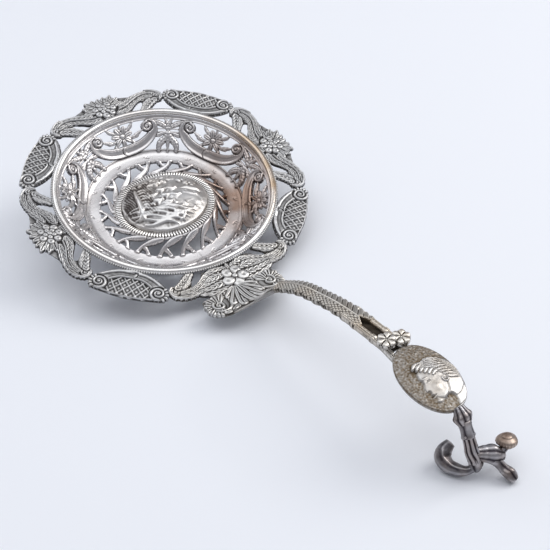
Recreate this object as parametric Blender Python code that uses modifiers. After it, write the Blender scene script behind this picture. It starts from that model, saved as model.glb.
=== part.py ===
"""Ornate silver tea strainer: pierced bowl with a raised boss, cast border of
cartouches and flower sprays, arched handle with an oval medallion and a
figural finial.  Metres, +Z up, +X towards the handle.

The strainer is shown as it rests on a table: the handle is the heavier half, so
the bowl leans on the handle-side edge of its flat ring and the finial touches
the table.  Everything is drawn in the bowl's own level frame (origin on the
bowl axis in the plane of the rim wire) under one empty, and that empty is
tilted by REST_TILT and set down on z = 0.
"""
import math
import bpy
import bmesh
from mathutils import Vector, Matrix

MM = 0.001

# ------------------------------------------------------------ driving sizes
REST_TILT = math.radians(16.0)     # lean of the bowl axis towards the handle
BORDER_TURN = math.radians(-3.0)   # bowl and border turned about the bowl axis
GAP = 0.3 * MM                     # clearance between soldered neighbours

RIM_R = 34.0 * MM                  # rim wire centre line
RIM_WIRE = 0.95 * MM               # rim wire radius
WALL_T = 0.9 * MM                  # thickness of the pierced sheet
WALL_TOP = (33.55 * MM, -1.05 * MM)
WALL_FOOT = (24.7 * MM, -9.1 * MM)
BAND_Z = -9.7 * MM                 # top of the flat ring
BAND_IN = (20.4 * MM, BAND_Z)
WEB_IN = (16.65 * MM, -8.5 * MM)
SEAT_Z = -8.2 * MM                 # middle of the boss's seat, which leans in the bowl
SEAT_RISE = (0.185, 0.055)         # its rise along X, towards the handle, and along Y
LEAN_FROM = 20.29 * MM             # the sheet is flat outside this radius
GADROON_R = 15.1 * MM
GADROON_WIRE = 0.8 * MM
BOSS_R = 13.95 * MM
BOSS_FOOT_Z = -0.1 * MM            # from the seat
BOSS_TOP_Z = 4.7 * MM

BORDER_IN = 35.3 * MM
BORDER_T = 1.3 * MM                # thickness of the cast border
BORDER_Z = -0.55 * MM              # its middle height
CART_HALF = math.radians(15.6)
SPRAY_HALF = math.radians(28.6)
CART_AT = (45, 135, 225, 315)
SPRAY_AT = {"border_spray_left": 90, "border_spray_far": 180, "border_spray_right": 270,
            "border_spray_handle": 0}

WALL_LOBES = 6                     # cartouches pierced round the bowl wall
WALL_LOBE_AT = math.radians(-2.0)
WEB_COUNT = 18                     # arches of the pierced web round the boss

# the handle's centre line, in the plane y = 0 of the bowl frame (x, z, mm)
ROOT_LINE = [(45.4, 1.4, 12.6), (47.2, 1.6, 13.2), (49.2, 1.9, 13.2), (51.4, 2.4, 12.6),
             (53.2, 3.2, 10.9), (54.6, 4.7, 8.0), (55.8, 7.0, 5.0), (57.2, 10.3, 3.1), (58.9, 12.8, 2.5)]
ROOT_SIDE = [-4.6, -4.6, -4.6, -4.4, -3.9, -3.0, -1.7, -0.4, 0.0]   # its wide end sits to one side
STEM_LINE = [(59.4, 13.3, 2.3), (62.4, 16.6, 2.3), (65.4, 19.5, 2.2), (68.6, 22.0, 2.15),
             (72.0, 24.1, 2.2), (75.6, 26.0, 2.25), (79.2, 28.0, 2.35), (82.6, 29.6, 2.5),
             (85.6, 30.8, 2.7)]
STEM_T = 2.1 * MM
RAIL_LINE = [(86.2, 31.0), (90.0, 32.2), (94.4, 33.4), (99.0, 34.6), (103.0, 35.3), (108.6, 35.35)]
RAIL_Y = 2.05 * MM
MEDAL = (116.0 * MM, 39.2 * MM)    # centre of the medallion's top
MEDAL_A, MEDAL_B = 10.9 * MM, 7.4 * MM
MEDAL_SLOPE = math.radians(2.0)
MEDAL_T = 2.2 * MM

SILVER = (0.72, 0.71, 0.69)
SILVER_DARK = (0.34, 0.32, 0.30)
SILVER_WARM = (0.66, 0.60, 0.52)

for ob in list(bpy.data.objects):
    bpy.data.objects.remove(ob, do_unlink=True)

scene = bpy.context.scene
PARTS = bpy.data.collections.new("tea_strainer")
CUTTERS = bpy.data.collections.new("cutters")
scene.collection.children.link(PARTS)
scene.collection.children.link(CUTTERS)

REST = bpy.data.objects.new("rest_pose", None)
BOWL = bpy.data.objects.new("bowl_frame", None)
PARTS.objects.link(REST)
PARTS.objects.link(BOWL)
REST.rotation_euler = (0, REST_TILT, 0)
BOWL.parent = REST
BOWL.rotation_euler = (0, 0, BORDER_TURN)


# ------------------------------------------------------------------ helpers
def material(name, rgb, rough, metal=1.0):
    m = bpy.data.materials.new(name)
    m.use_nodes = True
    b = m.node_tree.nodes["Principled BSDF"]
    b.inputs["Base Color"].default_value = (*rgb, 1)
    b.inputs["Roughness"].default_value = rough
    b.inputs["Metallic"].default_value = metal
    m.diffuse_color = (*rgb, 1)
    return m


def finish(ob, parent, rgb, rough=0.3, coll=None):
    (coll or PARTS).objects.link(ob)
    ob.parent = parent
    ob.data.materials.clear()
    ob.data.materials.append(material(ob.name + "_metal", rgb, rough))
    return ob


def mesh_object(name, bm):
    bmesh.ops.recalc_face_normals(bm, faces=bm.faces[:])
    me = bpy.data.meshes.new(name)
    bm.to_mesh(me)
    bm.free()
    me.shade_smooth()
    me.set_sharp_from_angle(angle=math.radians(35))
    return bpy.data.objects.new(name, me)


def ring_profile(name, pts, steps):
    """A closed profile in the XZ plane turned about Z with a Screw modifier."""
    me = bpy.data.meshes.new(name)
    n = len(pts)
    me.from_pydata([(x, 0, z) for x, z in pts], [(i, (i + 1) % n) for i in range(n)], [])
    ob = bpy.data.objects.new(name, me)
    s = ob.modifiers.new("turn", "SCREW")
    s.axis = 'Z'
    s.angle = 2 * math.pi
    s.steps = s.render_steps = steps
    s.use_merge_vertices = True
    s.merge_threshold = 0.00001
    s.use_smooth_shade = True
    return ob


def circle_profile(r, z, wire, n):
    """Circle section, listed so that its outer side runs top to bottom."""
    return [(r + wire * math.sin(2 * math.pi * k / n), z + wire * math.cos(2 * math.pi * k / n))
            for k in range(n)]


def polar(pts, turn=0.0):
    """(degrees, radius mm) -> plane points, turned about the bowl axis."""
    out = []
    for a, r in pts:
        t = math.radians(a) + turn
        out.append((r * MM * math.cos(t), r * MM * math.sin(t)))
    return out


def flat_piece(name, outline, thick, z):
    """A flat outline as a filled 2D curve, extruded by half its thickness."""
    cu = bpy.data.curves.new(name, 'CURVE')
    cu.dimensions = '2D'
    cu.fill_mode = 'BOTH'
    cu.extrude = thick / 2
    sp = cu.splines.new('POLY')
    sp.points.add(len(outline) - 1)
    for p, (x, y) in zip(sp.points, outline):
        p.co = (x, y, 0, 1)
    sp.use_cyclic_u = True
    ob = bpy.data.objects.new(name, cu)
    ob.location = (0, 0, z)
    return ob


def densify(pts, step):
    out = []
    for (a, r), (b, q) in zip(pts[:-1], pts[1:]):
        k = max(1, int(abs(b - a) / step + 0.5))
        for i in range(k):
            t = i / k
            out.append((a + (b - a) * t, r + (q - r) * t))
    out.append(pts[-1])
    return out


def loft(name, stations, n=12, power=2.6):
    """Closed loft through superellipse sections (centre, side, up, half width, half height)."""
    bm = bmesh.new()
    rings = []
    for c, side, up, w, h in stations:
        ring = []
        for k in range(n):
            a = 2 * math.pi * (k + 0.5) / n
            ca, sa = math.cos(a), math.sin(a)
            x = math.copysign(abs(ca) ** (2 / power), ca) * w
            y = math.copysign(abs(sa) ** (2 / power), sa) * h
            ring.append(bm.verts.new(c + side * x + up * y))
        rings.append(ring)
    for a, b in zip(rings[:-1], rings[1:]):
        for k in range(n):
            bm.faces.new((a[k], a[(k + 1) % n], b[(k + 1) % n], b[k]))
    bm.faces.new(rings[0])
    bm.faces.new(rings[-1])
    return mesh_object(name, bm)


def plane_loft(name, line, thick, y=0.0, n=12, power=2.6):
    """Loft along a line of (x, z, half width) beside the handle's plane."""
    ys = y if isinstance(y, (list, tuple)) else [y] * len(line)
    pts = [Vector((p[0] * MM, q, p[1] * MM)) for p, q in zip(line, ys)]
    st = []
    for i, p in enumerate(pts):
        d = (pts[min(i + 1, len(pts) - 1)] - pts[max(i - 1, 0)]).normalized()
        side = Vector((0, 1, 0))
        up = side.cross(d) * -1
        if up.z < 0:
            up = -up
        t = thick[i] if isinstance(thick, (list, tuple)) else thick
        st.append((p, side, up, line[i][2] * MM, t / 2))
    return loft(name, st, n, power)


def rod(name, pts, radii, res=3):
    """A bevelled curve through points, with a radius at each and filled caps."""
    cu = bpy.data.curves.new(name, 'CURVE')
    cu.dimensions = '3D'
    cu.bevel_depth = 1.0 * MM
    cu.bevel_resolution = res
    cu.use_fill_caps = True
    cu.twist_mode = 'MINIMUM'
    sp = cu.splines.new('POLY')
    sp.points.add(len(pts) - 1)
    for p, q, r in zip(sp.points, pts, radii):
        p.co = (q[0] * MM, q[1] * MM, q[2] * MM, 1)
        p.radius = r
    return bpy.data.objects.new(name, cu)


def catmull(pts, radii, k):
    """Smooth curve through control points, k spans between each."""
    P, Rr = [], []
    ext = [pts[0]] + list(pts) + [pts[-1]]
    er = [radii[0]] + list(radii) + [radii[-1]]
    for i in range(1, len(ext) - 2):
        for j in range(k):
            t = j / k
            P.append(tuple(0.5 * ((2 * b) + (-a + c) * t + (2 * a - 5 * b + 4 * c - d) * t * t
                                  + (-a + 3 * b - 3 * c + d) * t ** 3)
                           for a, b, c, d in zip(ext[i - 1], ext[i], ext[i + 1], ext[i + 2])))
            Rr.append(er[i] + (er[i + 1] - er[i]) * t)
    P.append(tuple(pts[-1]))
    Rr.append(radii[-1])
    return P, Rr


def prism(bm, outline, frame, depth):
    """Closed prism: a polygon in the XY of a frame, drawn out along its Z."""
    vs = [bm.verts.new(frame @ Vector((x, y, -depth))) for x, y in outline]
    f = bm.faces.new(vs)
    r = bmesh.ops.extrude_face_region(bm, geom=[f])
    top = [v for v in r["geom"] if isinstance(v, bmesh.types.BMVert)]
    axis = (frame.to_3x3() @ Vector((0, 0, 1))).normalized()
    bmesh.ops.translate(bm, verts=top, vec=axis * 2 * depth)


def cut(target, cutter):
    CUTTERS.objects.link(cutter)
    cutter.hide_render = True
    cutter.display_type = 'WIRE'
    cutter.parent = target.parent
    b = target.modifiers.new(cutter.name, "BOOLEAN")
    b.operation = 'DIFFERENCE'
    b.object = cutter
    b.solver = 'EXACT'


# --------------------------------------------------------------- the bowl
def offset_profile(pts, t):
    """Inner side of a sheet: the outer polyline moved by its mean normal."""
    out = []
    for i, p in enumerate(pts):
        a = Vector(pts[max(i - 1, 0)])
        b = Vector(pts[min(i + 1, len(pts) - 1)])
        d = (b - a).normalized()
        nrm = Vector((-d.y, d.x))
        if nrm.y < 0:
            nrm = -nrm
        out.append((p[0] + nrm.x * t, p[1] + nrm.y * t))
    return out


# the sheet's top face, rim to boss, then its underside is one thickness below
top_line = [WALL_TOP, (30.6 * MM, -3.75 * MM), (27.4 * MM, -6.75 * MM), WALL_FOOT,
            (24.2 * MM, BAND_Z), (20.6 * MM, BAND_Z), (18.6 * MM, -9.2 * MM), WEB_IN]
under = offset_profile(top_line, -WALL_T)
under[4] = (24.5 * MM, BAND_Z - WALL_T)     # the flat ring the bowl stands on
under[5] = (20.3 * MM, BAND_Z - WALL_T)
bowl = ring_profile("bowl_shell", under + top_line[::-1], 72)
finish(bowl, BOWL, SILVER, 0.25)

# inside the flat ring the sheet leans, to meet the boss's seat all the way round
bpy.context.view_layer.update()
turned = bpy.data.meshes.new_from_object(bowl.evaluated_get(bpy.context.evaluated_depsgraph_get()))
bowl.modifiers.clear()
bowl.data = turned
for v in turned.vertices:
    r = math.hypot(v.co.x, v.co.y)
    k = min(max((LEAN_FROM - r) / (LEAN_FROM - WEB_IN[0]), 0.0), 1.0)
    v.co.z += k * (SEAT_RISE[0] * v.co.x + SEAT_RISE[1] * v.co.y)

wall_dir = Vector((WALL_TOP[0] - WALL_FOOT[0], 0, WALL_TOP[1] - WALL_FOOT[1]))
wall_len = wall_dir.length
wall_mid = Vector(((WALL_TOP[0] + WALL_FOOT[0]) / 2, 0, (WALL_TOP[1] + WALL_FOOT[1]) / 2))


def wall_frame(az):
    """X round the bowl, Y up the wall, Z through the sheet."""
    y = wall_dir.normalized()
    x = Vector((0, 1, 0))
    z = x.cross(y)
    m = Matrix((x, y, z)).transposed().to_4x4()
    m.translation = wall_mid
    return Matrix.Rotation(az, 4, 'Z') @ m


web_mid = Vector(((BAND_IN[0] + WEB_IN[0]) / 2, 0, SEAT_Z))


def web_frame(az):
    """X round the bowl, Y outwards, Z straight through."""
    m = Matrix(((0, 1, 0), (1, 0, 0), (0, 0, -1))).transposed().to_4x4()
    m.translation = web_mid
    return Matrix.Rotation(az, 4, 'Z') @ m


bm = bmesh.new()
for k in range(WALL_LOBES):
    az = WALL_LOBE_AT + k * 2 * math.pi / WALL_LOBES
    for sgn in (1, -1):
        # openings each side of the daisy, inside the scroll frame
        w = [(1.6, 2.6), (4.6, 3.0), (6.4, 1.0), (5.6, -1.6), (3.4, -3.3), (1.2, -3.2), (2.2, -0.3)]
        prism(bm, [(sgn * a * MM, b * MM) for a, b in w], wall_frame(az), 2.4 * MM)
    # openings between two scroll frames, above and below the leaf spray
    mid = az + math.pi / WALL_LOBES
    prism(bm, [(a * MM, b * MM) for a, b in [(-3.2, 4.1), (3.2, 4.1), (1.6, 1.2), (-1.6, 1.2)]],
          wall_frame(mid), 2.4 * MM)
    for sgn in (1, -1):
        prism(bm, [(sgn * a * MM, b * MM) for a, b in [(0.5, -0.6), (3.0, -1.6), (3.6, -4.4), (1.2, -4.2)]],
              wall_frame(mid), 2.4 * MM)
cut(bowl, mesh_object("wall_windows", bm))

bm = bmesh.new()
for k in range(WEB_COUNT):
    az = (k + 0.5) * 2 * math.pi / WEB_COUNT
    prism(bm, [(a * MM, b * MM) for a, b in [(-2.1, 1.35), (2.1, 1.35), (1.5, -0.35), (0.0, -1.2), (-1.5, -0.35)]],
          web_frame(az), 14.0 * MM)
cut(bowl, mesh_object("web_windows", bm))

finish(ring_profile("rim_wire", circle_profile(RIM_R, 0.0, RIM_WIRE, 8), 72), BOWL, SILVER_WARM, 0.22)
seat = bpy.data.objects.new("boss_seat", None)
seat.parent = BOWL
seat.location = (0, 0, SEAT_Z)
seat.rotation_euler = (math.atan(SEAT_RISE[1]), -math.atan(SEAT_RISE[0]), 0)
PARTS.objects.link(seat)
finish(ring_profile("gadroon_ring", circle_profile(GADROON_R, 0.0, GADROON_WIRE, 8), 56), seat, SILVER, 0.3)

# the boss: a domed shell, open underneath
dome = [(BOSS_R, BOSS_FOOT_Z), (BOSS_R * 0.93, BOSS_FOOT_Z + 1.9 * MM), (BOSS_R * 0.78, BOSS_TOP_Z - 1.55 * MM),
        (BOSS_R * 0.52, BOSS_TOP_Z - 0.5 * MM), (BOSS_R * 0.25, BOSS_TOP_Z - 0.1 * MM)]
me = bpy.data.meshes.new("boss_medallion")
prof = [(0, BOSS_TOP_Z)] + dome[::-1]
me.from_pydata([(x, 0, z) for x, z in prof], [(i, i + 1) for i in range(len(prof) - 1)], [])
boss = bpy.data.objects.new("boss_medallion", me)
s = boss.modifiers.new("turn", "SCREW")
s.axis = 'Z'
s.steps = s.render_steps = 40
s.use_merge_vertices = True
s.merge_threshold = 0.00001
so = boss.modifiers.new("sheet", "SOLIDIFY")
so.thickness = 1.0 * MM
so.offset = -1.0
finish(boss, seat, SILVER, 0.3)

# ------------------------------------------------------------- the border
CART_EDGE = []
for k in range(13):                       # outer edge, a flat crown with scroll ends
    u = -1 + 2 * k / 12
    CART_EDGE.append((u * 15.6, 42.6 + 1.9 * (1 - abs(u) ** 5)))
for k in range(1, 12):                    # rim side, a half ellipse
    u = 1 - 2 * k / 12
    CART_EDGE.append((u * 15.6, 41.7 - 6.3 * math.sqrt(1 - u * u)))

for i, az in enumerate(CART_AT):
    ob = flat_piece("border_cartouche_%d" % (i + 1), polar(CART_EDGE, math.radians(az)), BORDER_T, BORDER_Z)
    finish(ob, BOWL, SILVER_DARK, 0.38)

HALF_SPRAY = [(0.0, 45.4), (4.5, 44.6), (9.6, 45.6), (11.2, 43.0), (13.4, 41.2), (17.0, 42.3), (21.0, 43.7),
              (25.0, 44.0), (27.6, 43.0), (28.6, 41.4), (27.8, 40.0), (25.2, 39.7), (20.6, 35.3), (16.8, 35.3),
              (20.2, 40.0), (18.2, 40.9), (13.0, 38.4), (8.5, 36.2), (6.0, 35.3), (0.0, 35.3)]
half = densify(HALF_SPRAY, 6)
SPRAY_EDGE = half + [(-a, r) for a, r in half[::-1][1:-1]]
for name, az in SPRAY_AT.items():
    ob = flat_piece(name, polar(SPRAY_EDGE, math.radians(az)), BORDER_T, BORDER_Z)
    finish(ob, BOWL, SILVER_DARK, 0.38)

# ------------------------------------------------------------- the handle
finish(plane_loft("shell_root", ROOT_LINE, [1.4 * MM] * 7 + [1.8 * MM, 2.1 * MM],
                  y=[q * MM for q in ROOT_SIDE], n=16, power=5.0),
       REST, SILVER, 0.34)
finish(plane_loft("handle_stem", STEM_LINE, STEM_T, n=12), REST, SILVER, 0.34)
for name, sgn in (("stem_rail_left", 1), ("stem_rail_right", -1)):
    line = [(x, z, 0.85) for x, z in RAIL_LINE]
    finish(plane_loft(name, line, 1.7 * MM, y=sgn * RAIL_Y, n=8), REST, SILVER_DARK, 0.36)

web = [(x, z - 0.45, 0.88) for x, z in RAIL_LINE[:-1]]
finish(plane_loft("slot_web", web, 0.7 * MM, n=8), REST, SILVER_DARK, 0.45)

for name, sgn in (("rosette_left", 1), ("rosette_right", -1)):
    bm = bmesh.new()
    bmesh.ops.create_cone(bm, cap_ends=True, segments=18, radius1=2.05 * MM, radius2=1.5 * MM, depth=1.3 * MM)
    ob = mesh_object(name, bm)
    ob.location = (102.5 * MM, sgn * 2.2 * MM, 38.0 * MM)
    ob.rotation_euler = (0, math.radians(-8), 0)
    finish(ob, REST, SILVER, 0.34)

bm = bmesh.new()
bmesh.ops.create_cone(bm, cap_ends=True, segments=40, radius1=1.0, radius2=0.955, depth=1.0)
bmesh.ops.scale(bm, vec=(MEDAL_A, MEDAL_B, MEDAL_T), verts=bm.verts[:])
medal = mesh_object("portrait_medallion", bm)
medal.location = (MEDAL[0], 0, MEDAL[1] - MEDAL_T / 2)
medal.rotation_euler = (0, -MEDAL_SLOPE, 0)
finish(medal, REST, SILVER, 0.34)

finish(plane_loft("collar", [(128.3, 37.3, 2.7), (129.3, 36.1, 2.7)], 3.9 * MM, n=10), REST, SILVER_DARK, 0.38)
finish(plane_loft("waist", [(129.6, 35.75, 2.0), (130.4, 34.6, 1.8), (131.4, 33.2, 2.0)], 3.4 * MM, n=8),
       REST, SILVER_DARK, 0.38)
finish(plane_loft("finial_stem", [(131.7, 32.75, 1.9), (133.1, 30.9, 1.7), (134.6, 28.8, 1.9), (135.8, 27.1, 2.3)],
                  [3.2 * MM, 3.0 * MM, 3.4 * MM, 3.8 * MM], n=10), REST, SILVER_DARK, 0.38)

P, Rr = catmull([(136.2, 0.4, 26.4), (136.9, 0.6, 24.6), (137.3, 0.6, 22.9)], [1.7, 1.5, 0.7], 3)
finish(rod("finial_drop", P, Rr), REST, SILVER_DARK, 0.38)
P, Rr = catmull([(136.1, -1.3, 23.2), (134.4, -2.6, 22.5), (131.9, -3.9, 22.2), (129.4, -4.2, 22.3),
                 (128.0, -2.6, 23.3), (128.2, -0.4, 24.9)],
                [0.9, 1.25, 1.6, 1.75, 1.6, 1.0], 3)
finish(rod("finial_hook", P, Rr), REST, SILVER_DARK, 0.38)
P, Rr = catmull([(136.5, 2.8, 27.5), (137.1, 4.2, 27.6), (138.0, 5.8, 27.5), (138.5, 6.9, 27.5)],
                [1.7, 2.3, 2.0, 1.2], 3)
finish(rod("finial_body", P, Rr), REST, SILVER_DARK, 0.38)
P, Rr = catmull([(137.4, 8.9, 28.3), (136.9, 9.1, 29.6), (136.3, 9.3, 31.2)], [1.9, 2.3, 1.7], 3)
finish(rod("finial_button", P, Rr), REST, SILVER_DARK, 0.34)
P, Rr = catmull([(141.0, 5.0, 25.9), (142.9, 5.6, 25.4), (144.8, 5.9, 24.9)], [1.3, 1.6, 0.9], 3)
finish(rod("finial_leaf", P, Rr), REST, SILVER_DARK, 0.38)

# ------------------------------------ set the strainer down on the table
bpy.context.view_layer.update()
dg = bpy.context.evaluated_depsgraph_get()
lo = Vector((1e9, 1e9, 1e9))
hi = -lo
for ob in PARTS.objects:
    if ob.type == 'EMPTY':
        continue
    ev = ob.evaluated_get(dg)
    me = ev.to_mesh()
    for v in me.vertices:
        p = ev.matrix_world @ v.co
        lo = Vector(map(min, lo, p))
        hi = Vector(map(max, hi, p))
    ev.to_mesh_clear()
REST.location = (-(lo.x + hi.x) / 2, -(lo.y + hi.y) / 2, -lo.z)
bpy.context.view_layer.update()
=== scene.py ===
import math
import bpy
import bmesh
import numpy as np
from mathutils import Matrix, Vector


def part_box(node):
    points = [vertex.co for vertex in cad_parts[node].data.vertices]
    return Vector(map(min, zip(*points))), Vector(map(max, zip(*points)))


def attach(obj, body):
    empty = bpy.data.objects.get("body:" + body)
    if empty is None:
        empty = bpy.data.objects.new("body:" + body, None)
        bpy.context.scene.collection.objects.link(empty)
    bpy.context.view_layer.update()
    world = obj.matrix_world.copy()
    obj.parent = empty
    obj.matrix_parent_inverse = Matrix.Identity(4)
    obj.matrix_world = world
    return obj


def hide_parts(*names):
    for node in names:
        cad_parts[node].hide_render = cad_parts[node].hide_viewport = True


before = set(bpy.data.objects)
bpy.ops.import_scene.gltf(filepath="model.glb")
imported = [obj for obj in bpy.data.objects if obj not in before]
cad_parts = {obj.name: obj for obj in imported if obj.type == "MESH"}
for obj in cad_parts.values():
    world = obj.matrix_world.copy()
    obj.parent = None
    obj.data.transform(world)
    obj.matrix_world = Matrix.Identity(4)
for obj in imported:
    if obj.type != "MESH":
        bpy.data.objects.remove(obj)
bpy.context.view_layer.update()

MM = 0.001
TAU = 2 * math.pi
BODY = "root"

# ------------------------------------------------------------------ frames
lo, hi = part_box("rim_wire")
ORIGIN = (lo + hi) / 2                       # the bowl's centre, in the plane of the rim wire
TILT = math.radians(16.0)
TURN = math.radians(-3.0)
M_HANDLE = Matrix.Translation(ORIGIN) @ Matrix.Rotation(TILT, 4, 'Y')
M_BOWL = M_HANDLE @ Matrix.Rotation(TURN, 4, 'Z')
RNG = np.random.default_rng(7)


def to_world(P, M):
    """Points in mm of a local frame, to metres of the row frame."""
    A = np.array(M, float)
    return (P * MM) @ A[:3, :3].T + A[:3, 3]


# --------------------------------------------------------------- materials
def nodes_of(m):
    nt = m.node_tree
    nt.nodes.clear()
    out = nt.nodes.new("ShaderNodeOutputMaterial")
    b = nt.nodes.new("ShaderNodeBsdfPrincipled")
    nt.links.new(b.outputs[0], out.inputs[0])
    return nt, b


def ramp(nt, src, stops, interp='LINEAR'):
    r = nt.nodes.new("ShaderNodeValToRGB")
    r.color_ramp.interpolation = interp
    e = r.color_ramp.elements
    while len(e) > 1:
        e.remove(e[-1])
    e[0].position, e[0].color = stops[0][0], stops[0][1]
    for p, c in stops[1:]:
        n = e.new(p)
        n.color = c
    nt.links.new(src, r.inputs[0])
    return r.outputs[0]


def grey(v):
    return (v, v, v, 1)


def silver(name, light=(0.90, 0.89, 0.87), dark=(0.050, 0.046, 0.044), warm=(0.62, 0.47, 0.30), warmth=0.25,
           warm_scale=90.0, rough=(0.42, 0.16), lo=0.30, hi=0.62, grime=0.35, scratch=0.12, attr=True, bias=0.0,
           warm_at=None):
    """Silver with oxide left in the hollows and rubbed bright on the high spots.
    The hollows come from the mesh's own 'wear' value, 0 deep to 1 proud; on the boss that value also holds painted
    shade on the left side and painted light on the smooth right slope."""
    m = bpy.data.materials.new(name)
    m.use_nodes = True
    nt, b = nodes_of(m)
    L = nt.links.new
    tc = nt.nodes.new("ShaderNodeTexCoord").outputs["Object"]
    n1 = nt.nodes.new("ShaderNodeTexNoise")
    n1.inputs["Scale"].default_value = 700
    n1.inputs["Detail"].default_value = 5
    n1.inputs["Roughness"].default_value = 0.65
    L(tc, n1.inputs["Vector"])
    n2 = nt.nodes.new("ShaderNodeTexNoise")
    n2.inputs["Scale"].default_value = warm_scale
    n2.inputs["Detail"].default_value = 3
    L(tc, n2.inputs["Vector"])
    if attr:
        a = nt.nodes.new("ShaderNodeAttribute")
        a.attribute_name = "wear"
        a.attribute_type = 'GEOMETRY'
        w = a.outputs["Fac"]
    else:
        v = nt.nodes.new("ShaderNodeValue")
        v.outputs[0].default_value = 0.62
        w = v.outputs[0]
    # wear + a little noise, so the oxide's edge is ragged
    mix = nt.nodes.new("ShaderNodeMath")
    mix.operation = 'MULTIPLY_ADD'
    L(n1.outputs[0], mix.inputs[0])
    mix.inputs[1].default_value = grime * 0.5
    mix.inputs[2].default_value = -grime * 0.25 + bias
    add = nt.nodes.new("ShaderNodeMath")
    add.operation = 'ADD'
    add.use_clamp = True
    L(w, add.inputs[0])
    L(mix.outputs[0], add.inputs[1])
    wear = add.outputs[0]
    mid = tuple(d * 0.55 + l * 0.45 for d, l in zip(dark, light))
    col = ramp(nt, wear, [(0.0, (*dark, 1)), (lo, (*[d * 1.6 for d in dark], 1)), ((lo + hi) / 2, (*mid, 1)),
                          (hi, (*[x * 0.93 for x in light], 1)), (1.0, (*light, 1))])
    # warm tarnish in soft patches
    wr = ramp(nt, n2.outputs[0], [(0.42, grey(0)), (0.70, grey(1))])
    k = nt.nodes.new("ShaderNodeMath")
    k.operation = 'MULTIPLY'
    L(wr, k.inputs[0])
    k.inputs[1].default_value = warmth
    fac = k.outputs[0]
    if warm_at is not None:
        # one stretch of the bowl has gone golden: strongest near a point, fading out
        (px, py, pz), radius, amount = warm_at
        d = nt.nodes.new("ShaderNodeVectorMath")
        d.operation = 'DISTANCE'
        L(tc, d.inputs[0])
        d.inputs[1].default_value = (px, py, pz)
        rr = nt.nodes.new("ShaderNodeMapRange")
        rr.inputs["From Min"].default_value = radius * 0.35
        rr.inputs["From Max"].default_value = radius
        rr.inputs["To Min"].default_value = amount
        rr.inputs["To Max"].default_value = 0.0
        L(d.outputs["Value"], rr.inputs["Value"])
        mm = nt.nodes.new("ShaderNodeMath")
        mm.operation = 'MULTIPLY'
        L(rr.outputs[0], mm.inputs[0])
        q = ramp(nt, n2.outputs[0], [(0.30, grey(0.35)), (0.60, grey(1))])
        L(q, mm.inputs[1])
        s = nt.nodes.new("ShaderNodeMath")
        s.operation = 'ADD'
        s.use_clamp = True
        L(fac, s.inputs[0])
        L(mm.outputs[0], s.inputs[1])
        fac = s.outputs[0]
    wm = nt.nodes.new("ShaderNodeMix")
    wm.data_type = 'RGBA'
    wm.blend_type = 'MULTIPLY'
    L(fac, wm.inputs["Factor"])
    L(col, wm.inputs[6])
    wm.inputs[7].default_value = (warm[0] / 0.80, warm[1] / 0.80, warm[2] / 0.80, 1)
    L(wm.outputs[2], b.inputs["Base Color"])
    b.inputs["Metallic"].default_value = 1.0
    # roughness: hollows dull, high spots rubbed smooth, with fine handling marks
    r0 = ramp(nt, wear, [(lo, grey(rough[0])), (hi, grey(rough[1]))])
    n3 = nt.nodes.new("ShaderNodeTexNoise")
    n3.inputs["Scale"].default_value = 260
    n3.inputs["Detail"].default_value = 6
    n3.inputs["Roughness"].default_value = 0.7
    L(tc, n3.inputs["Vector"])
    r1 = nt.nodes.new("ShaderNodeMath")
    r1.operation = 'MULTIPLY_ADD'
    r1.use_clamp = True
    L(n3.outputs[0], r1.inputs[0])
    r1.inputs[1].default_value = 0.16
    L(r0, r1.inputs[2])
    L(r1.outputs[0], b.inputs["Roughness"])
    # hairline scratches and the soft unevenness of hand-worked metal
    wv = nt.nodes.new("ShaderNodeTexNoise")
    wv.inputs["Scale"].default_value = 1500
    wv.inputs["Detail"].default_value = 2
    mp = nt.nodes.new("ShaderNodeMapping")
    mp.inputs["Scale"].default_value = (1.0, 0.12, 0.4)
    mp.inputs["Rotation"].default_value = (0.3, 0.2, 0.6)
    L(tc, mp.inputs["Vector"])
    L(mp.outputs[0], wv.inputs["Vector"])
    hm = nt.nodes.new("ShaderNodeMath")
    hm.operation = 'ADD'
    L(wv.outputs[0], hm.inputs[0])
    L(n3.outputs[0], hm.inputs[1])
    bp = nt.nodes.new("ShaderNodeBump")
    bp.inputs["Strength"].default_value = scratch
    bp.inputs["Distance"].default_value = 0.00012
    L(hm.outputs[0], bp.inputs["Height"])
    L(bp.outputs[0], b.inputs["Normal"])
    return m


# ------------------------------------------------------------ relief sheets
def blur(A, radius, wrap=False):
    """Three box blurs, close to a Gaussian of that radius in cells."""
    k = max(1, int(round(radius)))
    out = A.astype(float)
    for _ in range(3):
        for ax in (0, 1):
            mode = 'wrap' if (wrap and ax == 1) else 'edge'
            pad = [(0, 0), (0, 0)]
            pad[ax] = (k + 1, k)
            c = np.cumsum(np.pad(out, pad, mode=mode), axis=ax)
            n = out.shape[ax]
            a = np.take(c, np.arange(2 * k + 1, 2 * k + 1 + n), axis=ax)
            b = np.take(c, np.arange(0, n), axis=ax)
            out = (a - b) / (2 * k + 1)
    return out


def dome_prof(q):
    return np.sqrt(np.clip(1 - q * q, 0, 1))


def ridge_prof(q):
    return np.clip(1 - q, 0, 1)


def soft_prof(q):
    return np.clip(1 - q * q, 0, 1) ** 2


def slab_prof(q):
    t = np.clip((1 - q) / 0.28, 0, 1)
    return t * t * (3 - 2 * t)


def hollow_prof(q):
    """A raised lip each side of a shallow channel."""
    e = np.clip((1 - q) / 0.16, 0, 1)
    e = e * e * (3 - 2 * e)
    return e * (0.55 + 0.45 * np.clip((q - 0.30) / 0.42, 0, 1) ** 1.4)


PROF = {"dome": dome_prof, "ridge": ridge_prof, "soft": soft_prof, "slab": slab_prof, "hollow": hollow_prof}


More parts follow.
